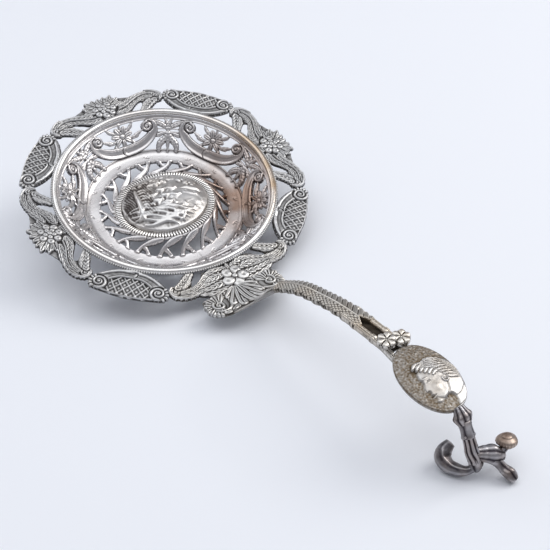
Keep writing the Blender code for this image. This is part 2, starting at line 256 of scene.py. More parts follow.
def spline(pts, n=10):
    """Catmull-Rom through the points."""
    P = [np.array(p, float) for p in pts]
    P = [2 * P[0] - P[1]] + P + [2 * P[-1] - P[-2]]
    out = []
    for i in range(1, len(P) - 2):
        a, b, c, d = P[i - 1:i + 3]
        for j in range(n):
            t = j / n
            out.append(0.5 * (2 * b + (c - a) * t + (2 * a - 5 * b + 4 * c - d) * t * t + (3 * b - a - 3 * c + d) * t ** 3))
    out.append(P[-2])
    return np.array(out)


def spiral(cx, cy, r0, r1, a0, a1, n=40):
    t = np.linspace(0, 1, n)
    a = np.radians(a0 + (a1 - a0) * t)
    r = r0 + (r1 - r0) * t ** 0.8
    return np.stack([cx + r * np.cos(a), cy + r * np.sin(a)], 1)


class Relief:
    """A pierced, chased sheet: a grid in mm with a signed distance (inside > 0) and a height."""

    def __init__(self, u0, u1, v0, v1, step, wrap=False):
        self.wrap = wrap
        self.nu = int(round((u1 - u0) / step)) + (0 if wrap else 1)
        self.nv = int(round((v1 - v0) / step)) + 1
        self.step = step
        self.u = u0 + (u1 - u0) * np.arange(self.nu) / (self.nu if wrap else self.nu - 1)
        self.v = np.linspace(v0, v1, self.nv)
        self.U, self.V = np.meshgrid(self.u, self.v)
        self.S = np.full(self.U.shape, -5.0)
        self.H = np.zeros(self.U.shape)

    def win(self, x0, x1, y0, y1):
        i0, i1 = np.searchsorted(self.u, [x0, x1])
        j0, j1 = np.searchsorted(self.v, [y0, y1])
        return slice(max(j0 - 1, 0), min(j1 + 1, self.nv)), slice(max(i0 - 1, 0), min(i1 + 1, self.nu))

    def _put(self, sl, s, hgt, mask, mode):
        ins = s > 0
        if mask:
            self.S[sl] = np.maximum(self.S[sl], s)
        H = self.H[sl]
        if mode == 'max':
            self.H[sl] = np.where(ins, np.maximum(H, hgt), H)
        elif mode == 'add':
            self.H[sl] = np.where(ins, H + hgt, H)
        elif mode == 'over':                       # lies on top, with a crease round it
            self.H[sl] = np.where(ins, hgt, H)
        elif mode == 'cut':
            self.H[sl] = np.where(ins, H - hgt, H)

    def stroke(self, pts, w, h, prof='dome', tex=None, mask=True, base=0.0, mode='max', margin=0.5):
        pts = np.asarray(pts, float)
        n = len(pts)
        w = np.full(n, float(w)) if np.isscalar(w) else np.asarray(w, float)
        if len(w) != n:
            w = np.interp(np.linspace(0, 1, n), np.linspace(0, 1, len(w)), w)
        seg = np.hypot(*(pts[1:] - pts[:-1]).T)
        L = np.concatenate([[0], np.cumsum(seg)])
        W = w.max() + margin
        sl = self.win(pts[:, 0].min() - W, pts[:, 0].max() + W, pts[:, 1].min() - W, pts[:, 1].max() + W)
        U, V = self.U[sl], self.V[sl]
        if U.size == 0:
            return
        best = np.full(U.shape, -9.0)
        Q = np.full(U.shape, 9.0)
        A = np.zeros(U.shape)
        G = np.zeros(U.shape)
        for k in range(n - 1):
            ax, ay = pts[k]
            dx, dy = pts[k + 1] - pts[k]
            l2 = dx * dx + dy * dy
            if l2 < 1e-12:
                continue
            t = np.clip(((U - ax) * dx + (V - ay) * dy) / l2, 0, 1)
            ex, ey = U - ax - t * dx, V - ay - t * dy
            d = np.hypot(ex, ey)
            ww = w[k] + (w[k + 1] - w[k]) * t
            s = ww - d
            m = s > best
            best = np.where(m, s, best)
            q = d / np.maximum(ww, 1e-4)
            Q = np.where(m, q, Q)
            A = np.where(m, L[k] + t * seg[k], A)
            G = np.where(m, np.sign(dx * ey - dy * ex), G)
        hh = PROF[prof](np.clip(Q, 0, 1)) * h
        if tex is not None:
            hh = hh * tex(A, Q * G, L[-1])
        self._put(sl, best, base + hh, mask, mode)

    def dome(self, cx, cy, rx, ry, ang, h, prof='dome', mask=True, base=0.0, mode='max', tex=None):
        W = max(rx, ry) + 0.5
        sl = self.win(cx - W, cx + W, cy - W, cy + W)
        U, V = self.U[sl] - cx, self.V[sl] - cy
        if U.size == 0:
            return
        c, s = math.cos(ang), math.sin(ang)
        x, y = (U * c + V * s) / rx, (-U * s + V * c) / ry
        q = np.hypot(x, y)
        hh = PROF[prof](np.clip(q, 0, 1)) * h
        if tex is not None:
            hh = hh * tex(x, y)
        self._put(sl, (1 - q) * min(rx, ry), base + hh, mask, mode)

    def petal(self, cx, cy, ang, length, width, h, tip=0.62, mask=True, base=0.0, mode='max', vein=0.35, prof='dome', ribs=0):
        """A pointed or round petal from its foot at (cx, cy): widest at tip times its length."""
        W = length + 0.5
        sl = self.win(cx - W, cx + W, cy - W, cy + W)
        U, V = self.U[sl] - cx, self.V[sl] - cy
        if U.size == 0:
            return
        c, s = math.cos(ang), math.sin(ang)
        x, y = (U * c + V * s) / length, (-U * s + V * c)
        t = np.clip(x, 0, 1)
        a = np.where(t < tip, t / tip, (1 - t) / (1 - tip))
        a = np.sqrt(np.clip(a * (2 - a), 0, 1))
        half = width / 2 * a + 1e-3
        q = np.abs(y) / half
        s1 = np.minimum((1 - q) * half, np.minimum(x, 1 - x) * length)
        s1 = np.where((x < 0) | (x > 1), -np.hypot(np.where(x < 0, x, x - 1) * length, y), s1)
        hh = PROF[prof](np.clip(q, 0, 1)) * h * (0.55 + 0.45 * a)
        hh = hh * (1 - vein * np.exp(-(y / (0.10 * width)) ** 2) * (t < 0.9))
        if ribs:
            hh = hh * (1 - 0.28 * (0.5 + 0.5 * np.cos(TAU * ribs * y / width)))
        self._put(sl, s1, base + hh, mask, mode)

    def flower(self, cx, cy, n, r0, length, width, h, a0=0.0, centre=0.6, tip=0.62, mask=True, base=0.0, mode='max', vein=0.35):
        for k in range(n):
            a = a0 + TAU * k / n
            self.petal(cx + r0 * math.cos(a), cy + r0 * math.sin(a), a, length, width, h, tip, mask, base, mode, vein)
        if centre:
            self.dome(cx, cy, centre, centre, 0, h * 1.15, 'dome', mask, base, 'over' if mode == 'over' else 'max')

    def leaf(self, pts, W, h, lobes=5, base=0.0, mask=True, mode='max', taper=(0.35, 1.0, 0.15), cut=0.45, prof='dome', one_side=0, slant=0.55):
        """A feathered leaf along a path: lobed edges, slanting cuts and a midrib."""
        pts = spline(pts, 12)
        n = len(pts)
        s = np.linspace(0, 1, n)
        env = np.interp(s, np.linspace(0, 1, len(taper)), taper)
        env = np.maximum(env, 0.05)
        w = W * env * (0.80 + 0.20 * np.abs(np.sin(math.pi * lobes * s)))

        def tex(a, q, L):
            p = lobes * a / L - slant * np.abs(q)
            f = np.abs(((p + 0.5) % 1.0) - 0.5)
            groove = np.exp(-(f / 0.17) ** 2)
            mid = np.exp(-(q / 0.15) ** 2)
            if one_side:
                groove = groove * (q * one_side > -0.15)
            return (1 - cut * groove * np.clip(0.25 + np.abs(q) * 1.2, 0, 1)) * (1 - 0.45 * mid) * (0.72 + 0.28 * (1 - np.abs(q)))
        self.stroke(pts, w, h, prof, tex, mask, base, mode)

    def scroll(self, cx, cy, r, turns, a0, w, h, sign=1, mask=True, base=0.0, bead=None, mode='over', prof='hollow'):
        """A volute that winds inwards from radius r at angle a0."""
        pts = spiral(cx, cy, r, r * 0.22, a0, a0 + sign * 360 * turns, int(30 * turns) + 8)
        self.stroke(pts, [w, w * 0.9, w * 0.6, w * 0.42], h, prof, None, mask, base, mode)
        b = bead if bead is not None else w * 0.85
        self.dome(cx, cy, b, b, 0, h * 1.1, 'dome', mask, base, mode)

    def poly(self, pts, smooth=6):
        """Signed distance to a closed smooth outline, inside positive."""
        P = spline(list(pts) + [pts[0]], smooth) if smooth else np.array(list(pts) + [pts[0]], float)
        inside = np.zeros(self.U.shape, bool)
        d = np.full(self.U.shape, 1e9)
        for k in range(len(P) - 1):
            ax, ay = P[k]
            bx, by = P[k + 1]
            dx, dy = bx - ax, by - ay
            l2 = dx * dx + dy * dy
            if l2 < 1e-12:
                continue
            t = np.clip(((self.U - ax) * dx + (self.V - ay) * dy) / l2, 0, 1)
            d = np.minimum(d, np.hypot(self.U - ax - t * dx, self.V - ay - t * dy))
            cr = (ay > self.V) != (by > self.V)
            inside ^= cr & (self.U < ax + (self.V - ay) * dx / (dy if abs(dy) > 1e-12 else 1e-12))
        return np.where(inside, d, -d)

    def wear(self, radius=0.30, gain=0.9, floor=0.0, edge=0.0):
        """0 in the hollows, 0.5 on the level, 1 on the ridges."""
        k = radius / self.step
        Hm = np.where(self.S > 0, self.H, 0)
        fine = Hm - blur(Hm, 1, self.wrap)
        d = Hm - blur(Hm, k, self.wrap)
        big = Hm - blur(Hm, k * 3.2, self.wrap)
        return np.clip(0.5 + gain * (1.5 * fine + 0.70 * d + 0.30 * big) + floor, 0, 1)

    def build(self, name, surf, thick, M, mat, slot, stands_for, wear=None, back=None):
        S = self.S.copy()
        S[0, :] = np.minimum(S[0, :], -0.5)
        S[-1, :] = np.minimum(S[-1, :], -0.5)
        if not self.wrap:
            S[:, 0] = np.minimum(S[:, 0], -0.5)
            S[:, -1] = np.minimum(S[:, -1], -0.5)
        e = 0.10 * self.step
        S = np.where(np.abs(S) < e, np.where(S >= 0, e, -e), S)
        wr = self.wear() if wear is None else wear
        nv, nu = S.shape
        ins = S > 0
        I1 = (np.arange(nu) + 1) % nu
        # crossing flags on horizontal edges (j,i)-(j,i+1) and vertical edges (j,i)-(j+1,i)
        hx = ins != ins[:, I1]
        if not self.wrap:
            hx[:, -1] = False
        vy = np.zeros_like(ins)
        vy[:-1] = ins[:-1] != ins[1:]
        cid = np.full(S.shape, -1, int)
        cid[ins] = np.arange(ins.sum())
        n0 = int(ins.sum())
        hid = np.full(S.shape, -1, int)
        hid[hx] = n0 + np.arange(hx.sum())
        n1 = n0 + int(hx.sum())
        vid = np.full(S.shape, -1, int)
        vid[vy] = n1 + np.arange(vy.sum())
        n = n1 + int(vy.sum())
        if n == 0:
            raise RuntimeError(name + " is empty")
        span = self.u[-1] - self.u[0] + (self.u[1] - self.u[0])
        u, v, h, w = np.empty(n), np.empty(n), np.empty(n), np.empty(n)
        u[:n0], v[:n0], h[:n0], w[:n0] = self.U[ins], self.V[ins], self.H[ins], wr[ins]
        j, i = np.nonzero(hx)
        i2 = I1[i]
        t = S[j, i] / (S[j, i] - S[j, i2])
        u2 = np.where(i2 < i, self.U[j, i2] + span, self.U[j, i2])
        u[n0:n1] = self.U[j, i] + t * (u2 - self.U[j, i])
        v[n0:n1] = self.V[j, i]
        ha, hb = np.where(ins[j, i], self.H[j, i], self.H[j, i2]), None
        h[n0:n1] = ha * 0.55
        w[n0:n1] = np.where(ins[j, i], wr[j, i], wr[j, i2])
        j, i = np.nonzero(vy)
        t = S[j, i] / (S[j, i] - S[j + 1, i])
        u[n1:] = self.U[j, i]
        v[n1:] = self.V[j, i] + t * (self.V[j + 1, i] - self.V[j, i])
        h[n1:] = np.where(ins[j, i], self.H[j, i], self.H[j + 1, i]) * 0.55
        w[n1:] = np.where(ins[j, i], wr[j, i], wr[j + 1, i])
        P, N = surf(u, v)
        T = thick(u, v) if callable(thick) else thick
        top = P + N * h[:, None]
        bot = P - N * (np.broadcast_to(T, h.shape)[:, None])
        # cells
        J, Icell = np.meshgrid(np.arange(nv - 1), np.arange(nu if self.wrap else nu - 1), indexing='ij')
        J, Icell = J.ravel(), Icell.ravel()
        K = I1[Icell]
        code = (ins[J, Icell] * 1 + ins[J, K] * 2 + ins[J + 1, K] * 4 + ins[J + 1, Icell] * 8)
        faces, walls = [], []
        for c in range(1, 16):
            m = code == c
            if not m.any():
                continue
            jj, ii, kk = J[m], Icell[m], K[m]
            corner = [cid[jj, ii], cid[jj, kk], cid[jj + 1, kk], cid[jj + 1, ii]]
            edge = [hid[jj, ii], vid[jj, kk], hid[jj + 1, ii], vid[jj, ii]]
            bits = [(c >> b) & 1 for b in range(4)]
            walk = []
            for k in range(4):
                if bits[k]:
                    walk.append(('c', k))
                if bits[k] != bits[(k + 1) % 4]:
                    walk.append(('e', k))
            cols = [corner[k] if t == 'c' else edge[k] for t, k in walk]
            faces.append(np.stack(cols, 1))
            for a in range(len(walk)):
                b = (a + 1) % len(walk)
                if walk[a][0] == 'e' and walk[b][0] == 'e':
                    walls.append(np.stack([cols[a], cols[b]], 1))
        polys = []
        for f in faces:
            polys.append(f)
            polys.append(f[:, ::-1] + n)
        for wl in walls:
            a, b = wl[:, 0], wl[:, 1]
            polys.append(np.stack([b, a, a + n, b + n], 1))
        V = to_world(np.concatenate([top, bot]), M)
        return make_mesh(name, V, polys, np.concatenate([w, np.full(n, 0.5) if back is None else back(u, v)]),
                         mat, stands_for)


def make_mesh(name, V, polys, wear, mat, stands_for):
    """One piece from vertex and polygon arrays, faces turned outwards."""
    me = bpy.data.meshes.new(name)
    me.vertices.add(len(V))
    me.vertices.foreach_set("co", np.asarray(V, np.float32).ravel())
    loops = np.concatenate([p.ravel() for p in polys])
    sizes = np.concatenate([np.full(len(p), p.shape[1]) for p in polys])
    me.loops.add(len(loops))
    me.loops.foreach_set("vertex_index", loops.astype(np.int32))
    me.polygons.add(len(sizes))
    starts = np.concatenate([[0], np.cumsum(sizes)[:-1]])
    me.polygons.foreach_set("loop_start", starts.astype(np.int32))
    me.polygons.foreach_set("loop_total", sizes.astype(np.int32))
    me.update(calc_edges=True)
    me.validate()
    # signed volume: turn the faces if they point in
    tri = np.zeros(3)
    co = np.asarray(V, float)
    c0 = co.mean(0)
    vol = 0.0
    for p in polys:
        for k in range(1, p.shape[1] - 1):
            a, b, c = co[p[:, 0]] - c0, co[p[:, k]] - c0, co[p[:, k + 1]] - c0
            vol += np.einsum('ij,ij->i', a, np.cross(b, c)).sum()
    if vol < 0:
        me.flip_normals()
    me.shade_smooth()
    if wear is not None:
        at = me.attributes.new("wear", 'FLOAT', 'POINT')
        if len(wear) == len(me.vertices):
            at.data.foreach_set("value", np.asarray(wear, np.float32))
    me.materials.append(mat)
    ob = bpy.data.objects.new(name, me)
    bpy.context.scene.collection.objects.link(ob)
    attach(ob, BODY)
    if stands_for:
        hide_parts(*([stands_for] if isinstance(stands_for, str) else stands_for))
    return ob


def tube_ring(name, R, z, prof, nseg, M, mat, node, wear_fn=None):
    """A closed ring: prof(k, theta) gives the section's (dr, dz) for section point k."""
    th = np.linspace(0, TAU, nseg, endpoint=False)
    sec = prof(th)                       # [nseg, m, 2]
    m = sec.shape[1]
    r = R + sec[:, :, 0]
    P = np.stack([r * np.cos(th)[:, None], r * np.sin(th)[:, None], z + sec[:, :, 1]], 2).reshape(-1, 3)
    a = (np.arange(nseg)[:, None] * m + np.arange(m)[None, :])
    b = (np.arange(nseg)[:, None] * m + (np.arange(m)[None, :] + 1) % m)
    c = (((np.arange(nseg)[:, None] + 1) % nseg) * m + (np.arange(m)[None, :] + 1) % m)
    d = (((np.arange(nseg)[:, None] + 1) % nseg) * m + np.arange(m)[None, :])
    F = np.stack([a, b, c, d], 2).reshape(-1, 4)
    w = np.full(len(P), 0.7) if wear_fn is None else wear_fn(th, sec).ravel()
    return make_mesh(name, to_world(P, M), [F], w, mat, node)


# ================================================================ materials
def bowl_pt(az, r, z):
    a = math.radians(az)
    p = M_BOWL @ Vector((r * math.cos(a) * MM, r * math.sin(a) * MM, z * MM))
    return tuple(p)


MAT_SHEET = silver("silver_sheet", light=(0.735, 0.72, 0.725), dark=(0.085, 0.078, 0.080), warmth=0.16, rough=(0.42, 0.20),
                   lo=0.34, hi=0.60, grime=0.30, scratch=0.22, warm=(0.36, 0.255, 0.20), warm_at=(bowl_pt(76, 27, -7), 0.026, 0.92))
MAT_RIM = silver("silver_rim", light=(0.82, 0.81, 0.80), dark=(0.22, 0.20, 0.18), warmth=0.20, rough=(0.28, 0.14), lo=0.1,
                 hi=0.4, grime=0.25, scratch=0.14, warm=(0.56, 0.42, 0.29), warm_at=(bowl_pt(78, 34, 0), 0.032, 0.90))
MAT_BOSS = silver("silver_boss", light=(0.70, 0.69, 0.685), dark=(0.075, 0.066, 0.064), warmth=0.22, rough=(0.48, 0.28),
                  lo=0.22, hi=0.62, grime=0.45, scratch=0.25)
MAT_RING = silver("silver_gadroon", light=(0.86, 0.85, 0.84), dark=(0.06, 0.054, 0.05), warmth=0.15, rough=(0.40, 0.16),
                  lo=0.30, hi=0.62, grime=0.25, scratch=0.1)
MAT_BORDER = silver("silver_border", light=(0.58, 0.58, 0.585), dark=(0.050, 0.048, 0.048), warmth=0.07, rough=(0.50, 0.27),
                    lo=0.28, hi=0.66, grime=0.50, scratch=0.25)
MAT_HANDLE = silver("silver_handle", light=(0.70, 0.67, 0.62), dark=(0.050, 0.044, 0.038), warmth=0.45, rough=(0.48, 0.24),
                    lo=0.28, hi=0.62, grime=0.45, scratch=0.22)
MAT_CAMEO = silver("silver_cameo", light=(0.62, 0.61, 0.60), dark=(0.115, 0.090, 0.062), warm=(0.46, 0.35, 0.22), warmth=0.50, warm_scale=120,
                   rough=(0.52, 0.30), lo=0.22, hi=0.66, grime=0.30, scratch=0.2)
MAT_ROOT = silver("silver_root", light=(0.66, 0.655, 0.645), dark=(0.055, 0.050, 0.046), warmth=0.20, rough=(0.48, 0.26),
                  lo=0.28, hi=0.66, grime=0.35, scratch=0.22)
MAT_BUTTON = silver("silver_button", light=(0.60, 0.50, 0.43), dark=(0.085, 0.060, 0.050), warm=(0.46, 0.30, 0.22), warmth=0.6, warm_scale=210,
                    rough=(0.44, 0.26), lo=0.24, hi=0.70, grime=0.7, scratch=0.3)
MAT_FINIAL = silver("silver_finial", light=(0.45, 0.44, 0.46), dark=(0.036, 0.032, 0.038), warm=(0.52, 0.38, 0.28), warmth=0.65, warm_scale=190,
                    rough=(0.42, 0.24), lo=0.26, hi=0.74, grime=0.85, scratch=0.3, bias=0.0)

# ==================================================================== bowl
WALL_PTS = [(33.55, -1.05), (32.2, -2.35), (30.6, -3.75), (29.0, -5.25), (27.4, -6.75), (26.0, -8.05), (24.7, -9.15),
            (23.7, -9.62), (22.4, -9.72), (21.2, -9.72), (20.4, -9.62)]
_w = spline(WALL_PTS, 16)
_wl = np.concatenate([[0], np.cumsum(np.hypot(*(_w[1:] - _w[:-1]).T))])
WALL_L = float(_wl[-1])
R_REF = 29.0


def profile_surf(curve, arc, rref):
    d = np.gradient(curve, axis=0)
    d /= np.hypot(d[:, 0], d[:, 1])[:, None]
    nr, nz = d[:, 1].copy(), -d[:, 0].copy()        # up and inwards
    f = np.where(nz < 0, -1, 1)
    nr, nz = nr * f, nz * f

    def surf(u, v):
        th = u / rref
        r, z = np.interp(v, arc, curve[:, 0]), np.interp(v, arc, curve[:, 1])
        a, b = np.interp(v, arc, nr), np.interp(v, arc, nz)
        c, s = np.cos(th), np.sin(th)
        return np.stack([r * c, r * s, z], 1), np.stack([a * c, a * s, b], 1)
    return surf


def v_of_r(r):
    """Distance down the sheet at which the bowl has that radius."""
    return float(np.interp(-r, -_w[:, 0], _wl))


STEP_W = 0.17
half = R_REF * math.radians(30)
wall = Relief(-half, half, -0.3, WALL_L + 0.3, STEP_W)
LW = v_of_r(25.0)                       # where the pierced wall meets the plain ring
w_ = wall
# solid rim band, and the plain ring at the foot
w_.S = np.maximum(w_.S, np.minimum(w_.V, 1.15 - w_.V))
w_.S = np.maximum(w_.S, np.minimum(w_.V - (LW - 0.35), WALL_L - w_.V))
w_.H = np.where(w_.V < 1.0, 0.10, 0.0)
w_.stroke([(-half - 1, 1.15), (half + 1, 1.15)], 0.28, 0.22, 'dome', base=0.0)
w_.stroke([(-half - 1, LW - 0.25), (half + 1, LW - 0.25)], 0.24, 0.20, 'dome', base=0.0)


def feather(n, slant=0.6, cut=0.4):
    def tex(a, q, L):
        f = np.abs(((n * a / L - slant * np.abs(q)) % 1.0) - 0.5)
        return 1 - cut * np.exp(-((0.5 - f) / 0.14) ** 2)
    return tex


# twin bars that tie the scroll frames together
for dv in (4.55, 5.55):
    for sg in (1, -1):
        w_.stroke([(sg * 10.4, dv), (sg * (half + 1), dv)], 0.22, 0.28, 'dome')
# leaf sprays between the frames: two leaves up to the rim, three down to the ring, mirrored across the sector's edge
for sg in (1, -1):
    e = sg * half
    w_.leaf([(e, 5.0), (e - sg * 1.6, 3.4), (e - sg * 3.6, 2.3), (e - sg * 5.2, 1.4)], 1.05, 0.60, 6)
    w_.leaf([(e, 4.8), (e - sg * 0.3, 3.0), (e - sg * 1.2, 1.0)], 0.80, 0.55, 5)
    w_.leaf([(e, 5.4), (e - sg * 1.0, 7.6), (e - sg * 2.9, 9.6), (e - sg * 3.4, LW)], 1.25, 0.65, 7, taper=(0.5, 1.0, 0.7))
    w_.leaf([(e, 5.4), (e, 8.0), (e, LW + 0.6)], 1.00, 0.60, 6, taper=(0.5, 1.0, 0.3))
    w_.leaf([(e - sg * 0.4, 5.6), (e - sg * 3.2, 6.6), (e - sg * 4.6, 6.6)], 0.85, 0.50, 4)
# the scroll frame: a broad C, open towards the rim, with a volute at each end
for sg in (1, -1):
    body = [(0, 10.1), (sg * 3.4, 9.85), (sg * 6.8, 8.8), (sg * 9.4, 6.8), (sg * 10.6, 4.4), (sg * 10.1, 2.5), (sg * 8.7, 1.9)]
    w_.stroke(spline(body, 12), [1.85, 1.85, 1.80, 1.60, 1.25, 0.95, 0.75], 0.72, 'hollow', mode='over')
    w_.dome(sg * 8.5, 3.5, 1.9, 1.9, 0, 0.35, 'slab', mode='over')
    w_.scroll(sg * 8.5, 3.5, 1.60, 1.5, -90, 0.42, 0.55, sign=-sg, prof='dome', base=0.30)
    w_.stroke(spline([(0, 11.55), (sg * 3.9, 11.2), (sg * 7.8, 9.9), (sg * 10.6, 7.2)], 8), 0.22, 0.40, 'dome')
# daisy in the frame, tied to it by leaves
for k in range(7):
    a = math.radians(90 + k * 360 / 7)
    w_.petal(0.62 * math.cos(a), 5.2 + 0.62 * math.sin(a), a, 3.0, 1.55, 0.66, tip=0.62, vein=0.6, mode='over')
w_.dome(0, 5.2, 0.95, 0.95, 0, 0.72, 'dome', mode='over')
w_.stroke([(0, 3.0), (0, 1.0)], 0.30, 0.35, 'dome')
w_.stroke([(0, 7.4), (0, 9.8)], 0.34, 0.35, 'dome')
for sg in (1, -1):
    w_.leaf([(sg * 1.2, 5.6), (sg * 3.8, 6.2), (sg * 5.6, 5.2), (sg * 7.3, 4.1)], 0.80, 0.50, 5)
    w_.leaf([(sg * 0.8, 6.2), (sg * 3.0, 7.6), (sg * 4.4, 9.2)], 0.66, 0.45, 4)
    w_.leaf([(sg * 1.0, 4.2), (sg * 3.2, 2.8), (sg * 4.4, 1.0)], 0.66, 0.45, 4)
# small chased sprig on the plain ring, below every second gap
mid_v = (LW + WALL_L) / 2 + 0.15
for sg in (1, -1):
    w_.petal(sg * 6.2, mid_v, math.radians(90 - sg * 90), 1.5, 0.6, -0.10, mask=False, mode='add', vein=0)
    w_.petal(sg * 6.2, mid_v, math.radians(-50), 1.2, 0.5, -0.10, mask=False, mode='add', vein=0)
    w_.petal(sg * 6.2, mid_v, math.radians(-130), 1.2, 0.5, -0.10, mask=False, mode='add', vein=0)

# six sectors round the bowl
full = Relief(0, TAU * R_REF, -0.3, WALL_L + 0.3, STEP_W, wrap=True)
A0 = math.radians(-2.0)
th = (full.u / R_REF - A0 + math.radians(30)) % math.radians(60) - math.radians(30)
uu = th * R_REF
ix = np.clip((uu - wall.u[0]) / (wall.u[1] - wall.u[0]), 0, wall.nu - 1.001)
i0 = ix.astype(int)
f = ix - i0
full.S = wall.S[:, i0] * (1 - f) + wall.S[:, i0 + 1] * f
full.H = wall.H[:, i0] * (1 - f) + wall.H[:, i0 + 1] * f
full.V = np.repeat(full.v[:, None], full.nu, 1)
lump = 0.05 * np.sin(full.U / 3.1) * np.sin(full.V / 2.3 + 1)
full.H = full.H + lump
full.build("bowl_wall_openwork", profile_surf(_w, _wl, R_REF), 0.75, M_BOWL, MAT_SHEET, "polished_sheet", "bowl_shell",
           wear=full.wear(0.32, 1.1, 0.12))

# ------------------------------------------------- the web round the boss
SEAT_Z, SEAT_X, SEAT_Y = -8.2, 0.185, 0.055        # the boss's seat leans in the bowl
M_SEAT = (M_BOWL @ Matrix.Translation((0, 0, SEAT_Z * MM)) @ Matrix.Rotation(-math.atan(SEAT_X), 4, 'Y')
          @ Matrix.Rotation(math.atan(SEAT_Y), 4, 'X'))
WEB_PTS = [(20.75, -9.72), (19.9, -9.62), (18.9, -9.35), (17.8, -8.95), (15.75, -8.1)]
_b = spline(WEB_PTS, 12)
_bl = np.concatenate([[0], np.cumsum(np.hypot(*(_b[1:] - _b[:-1]).T))])
WEB_L = float(_bl[-1])
R_WEB = 18.6
web = Relief(0, TAU * R_WEB, -0.2, WEB_L + 0.2, 0.13, wrap=True)
web.S = np.maximum(web.S, np.minimum(web.V + 0.01, 0.42 - web.V))
web.S = np.maximum(web.S, np.minimum(web.V - (WEB_L - 0.75), WEB_L - web.V))
web.H = np.where(web.V > WEB_L - 0.75, 0.15, 0.0)
def web_stroke(pts, w, h):
    for off in (0, TAU * R_WEB, -TAU * R_WEB):
        web.stroke(np.asarray(pts) + [off, 0], w, h, 'dome')


dg_ = R_WEB * math.radians(1)
for k in range(18):
    x0 = (20 * k + 6) * dg_
    rib = spline([(x0 - 0.6 * dg_, -0.1), (x0 + 0.4 * dg_, 1.0), (x0 + 2.6 * dg_, 2.2), (x0 + 7.0 * dg_, 3.3), (x0 + 13.0 * dg_, 4.1),
                  (x0 + 21.0 * dg_, WEB_L - 0.45)], 9)
    web_stroke(rib, [0.86, 0.58, 0.64, 0.80, 0.98, 0.86], 0.62)
    spur = spline([(x0 + 4.2 * dg_, 2.2), (x0 + 7.6 * dg_, 1.35), (x0 + 10.6 * dg_, -0.1)], 7)
    web_stroke(spur, [0.78, 0.50, 0.70], 0.54)
def web_surf(u, v):
    P, N = profile_surf(_b, _bl, R_WEB)(u, v)
    r = np.hypot(P[:, 0], P[:, 1])
    P[:, 2] += np.clip((20.3 - r) / (20.3 - 16.2), 0, 1) * (SEAT_X * P[:, 0] + SEAT_Y * P[:, 1])
    return P, N


web.build("bowl_web_arches", web_surf, 0.70, M_BOWL, MAT_SHEET, "polished_sheet", "bowl_shell",
          wear=web.wear(0.28, 1.5, 0.0))


# ------------------------------------------------------------ rim and ring
def rim_prof(th):
    k = np.linspace(0, TAU, 18, endpoint=False)
    wob = 1 + 0.025 * np.sin(5 * th + 1) + 0.02 * np.sin(13 * th)
    r = 0.98 * wob[:, None] * np.ones_like(k)[None, :]
    return np.stack([r * np.cos(k), r * np.sin(k) * 0.96], 2)


tube_ring("rim_wire_polished", 34.0, 0.0, rim_prof, 288, M_BOWL, MAT_RIM, "rim_wire")


def mill_prof(th):
    k = np.linspace(0, TAU, 8, endpoint=False)
    r = 0.30 + 0.12 * np.abs(np.sin(150 * th))[:, None] * np.ones_like(k)[None, :]
    return np.stack([r * np.cos(k), r * np.sin(k)], 2)


def mill_wear(th, sec):
    return np.clip((np.hypot(sec[:, :, 0], sec[:, :, 1]) - 0.31) / 0.10, 0, 1)


tube_ring("rim_milled_wire", 35.0, -0.05, mill_prof, 150 * 8, M_BOWL, MAT_BORDER, None, mill_wear)

N_GAD = 108


def gad_prof(th):
    k = np.linspace(0, TAU, 22, endpoint=False)
    ph = N_GAD * th[:, None] + 0.7 * np.sin(k)[None, :]
    rib = np.abs(np.sin(ph / 2)) ** 0.85
    up = np.clip(np.sin(k) + 0.75, 0, 1)[None, :]
    r = 0.60 + 0.40 * rib * up + 0.40 * (1 - up)
    return np.stack([1.34 * r * np.cos(k), 0.84 * r * np.sin(k)], 2)


def gad_wear(th, sec):
    r = np.hypot(sec[:, :, 0] / 1.34, sec[:, :, 1] / 0.84)
    return np.clip((r - 0.66) / 0.30, 0, 1) * 0.9 + 0.02


tube_ring("gadroon_ring_ribbed", 14.92, 0.05, gad_prof, N_GAD * 12, M_SEAT, MAT_RING, "gadroon_ring", gad_wear)

# -------------------------------------------------------------- boss relief
R_BOSS = 13.9
boss = Relief(-14.8, 14.8, -14.8, 14.8, 0.14)
RR = np.hypot(boss.U, boss.V)
boss.S = R_BOSS - RR
# A worn pastoral scene: reeds and a tall leaning trunk at the left, tree crowns above, a flock in the
# middle, a cottage on the open slope at the right, broken ground below.  s runs right, t runs up.
rb = np.random.default_rng(23)
NOISE = blur(rb.standard_normal(boss.U.shape), 1.4)
NOISE = NOISE / NOISE.std()
BIG = blur(rb.standard_normal(boss.U.shape), 5.0)
BIG = BIG / BIG.std()
calm = np.exp(-(((boss.U - 8.0) / 4.6) ** 2 + ((boss.V - 0.5) / 4.6) ** 2))       # the smooth slope
boss.H = 0.30 + (0.045 * NOISE + 0.12 * BIG) * (1 - 0.9 * calm) + 0.25 * calm
boss.stroke(spline([(-13.1 * math.cos(a), 13.1 * math.sin(a)) for a in np.linspace(0, TAU, 40)], 3), 0.34, 0.42, 'dome', mask=False,
            base=0.22, mode='over')
boss.stroke(spline([(-13.9 * math.cos(a), 13.9 * math.sin(a)) for a in np.linspace(0, TAU, 40)], 3), 0.30, 0.30, 'soft', mask=False, mode='cut')


def tuft(x, y, r, n, h, lean=0.0):
    """A clump of leaves: small overlapping lumps round a point."""
    for k in range(n):
        a, d = rb.random() * TAU, r * math.sqrt(rb.random())
        q = 0.42 + 0.45 * rb.random()
        boss.dome(x + d * math.cos(a), y + d * math.sin(a) * 0.8, q, q * 0.72, a + lean, h * (0.7 + 0.5 * rb.random()), 'dome', mask=False,
                  base=0.32 + 0.20 * rb.random(), mode='over')


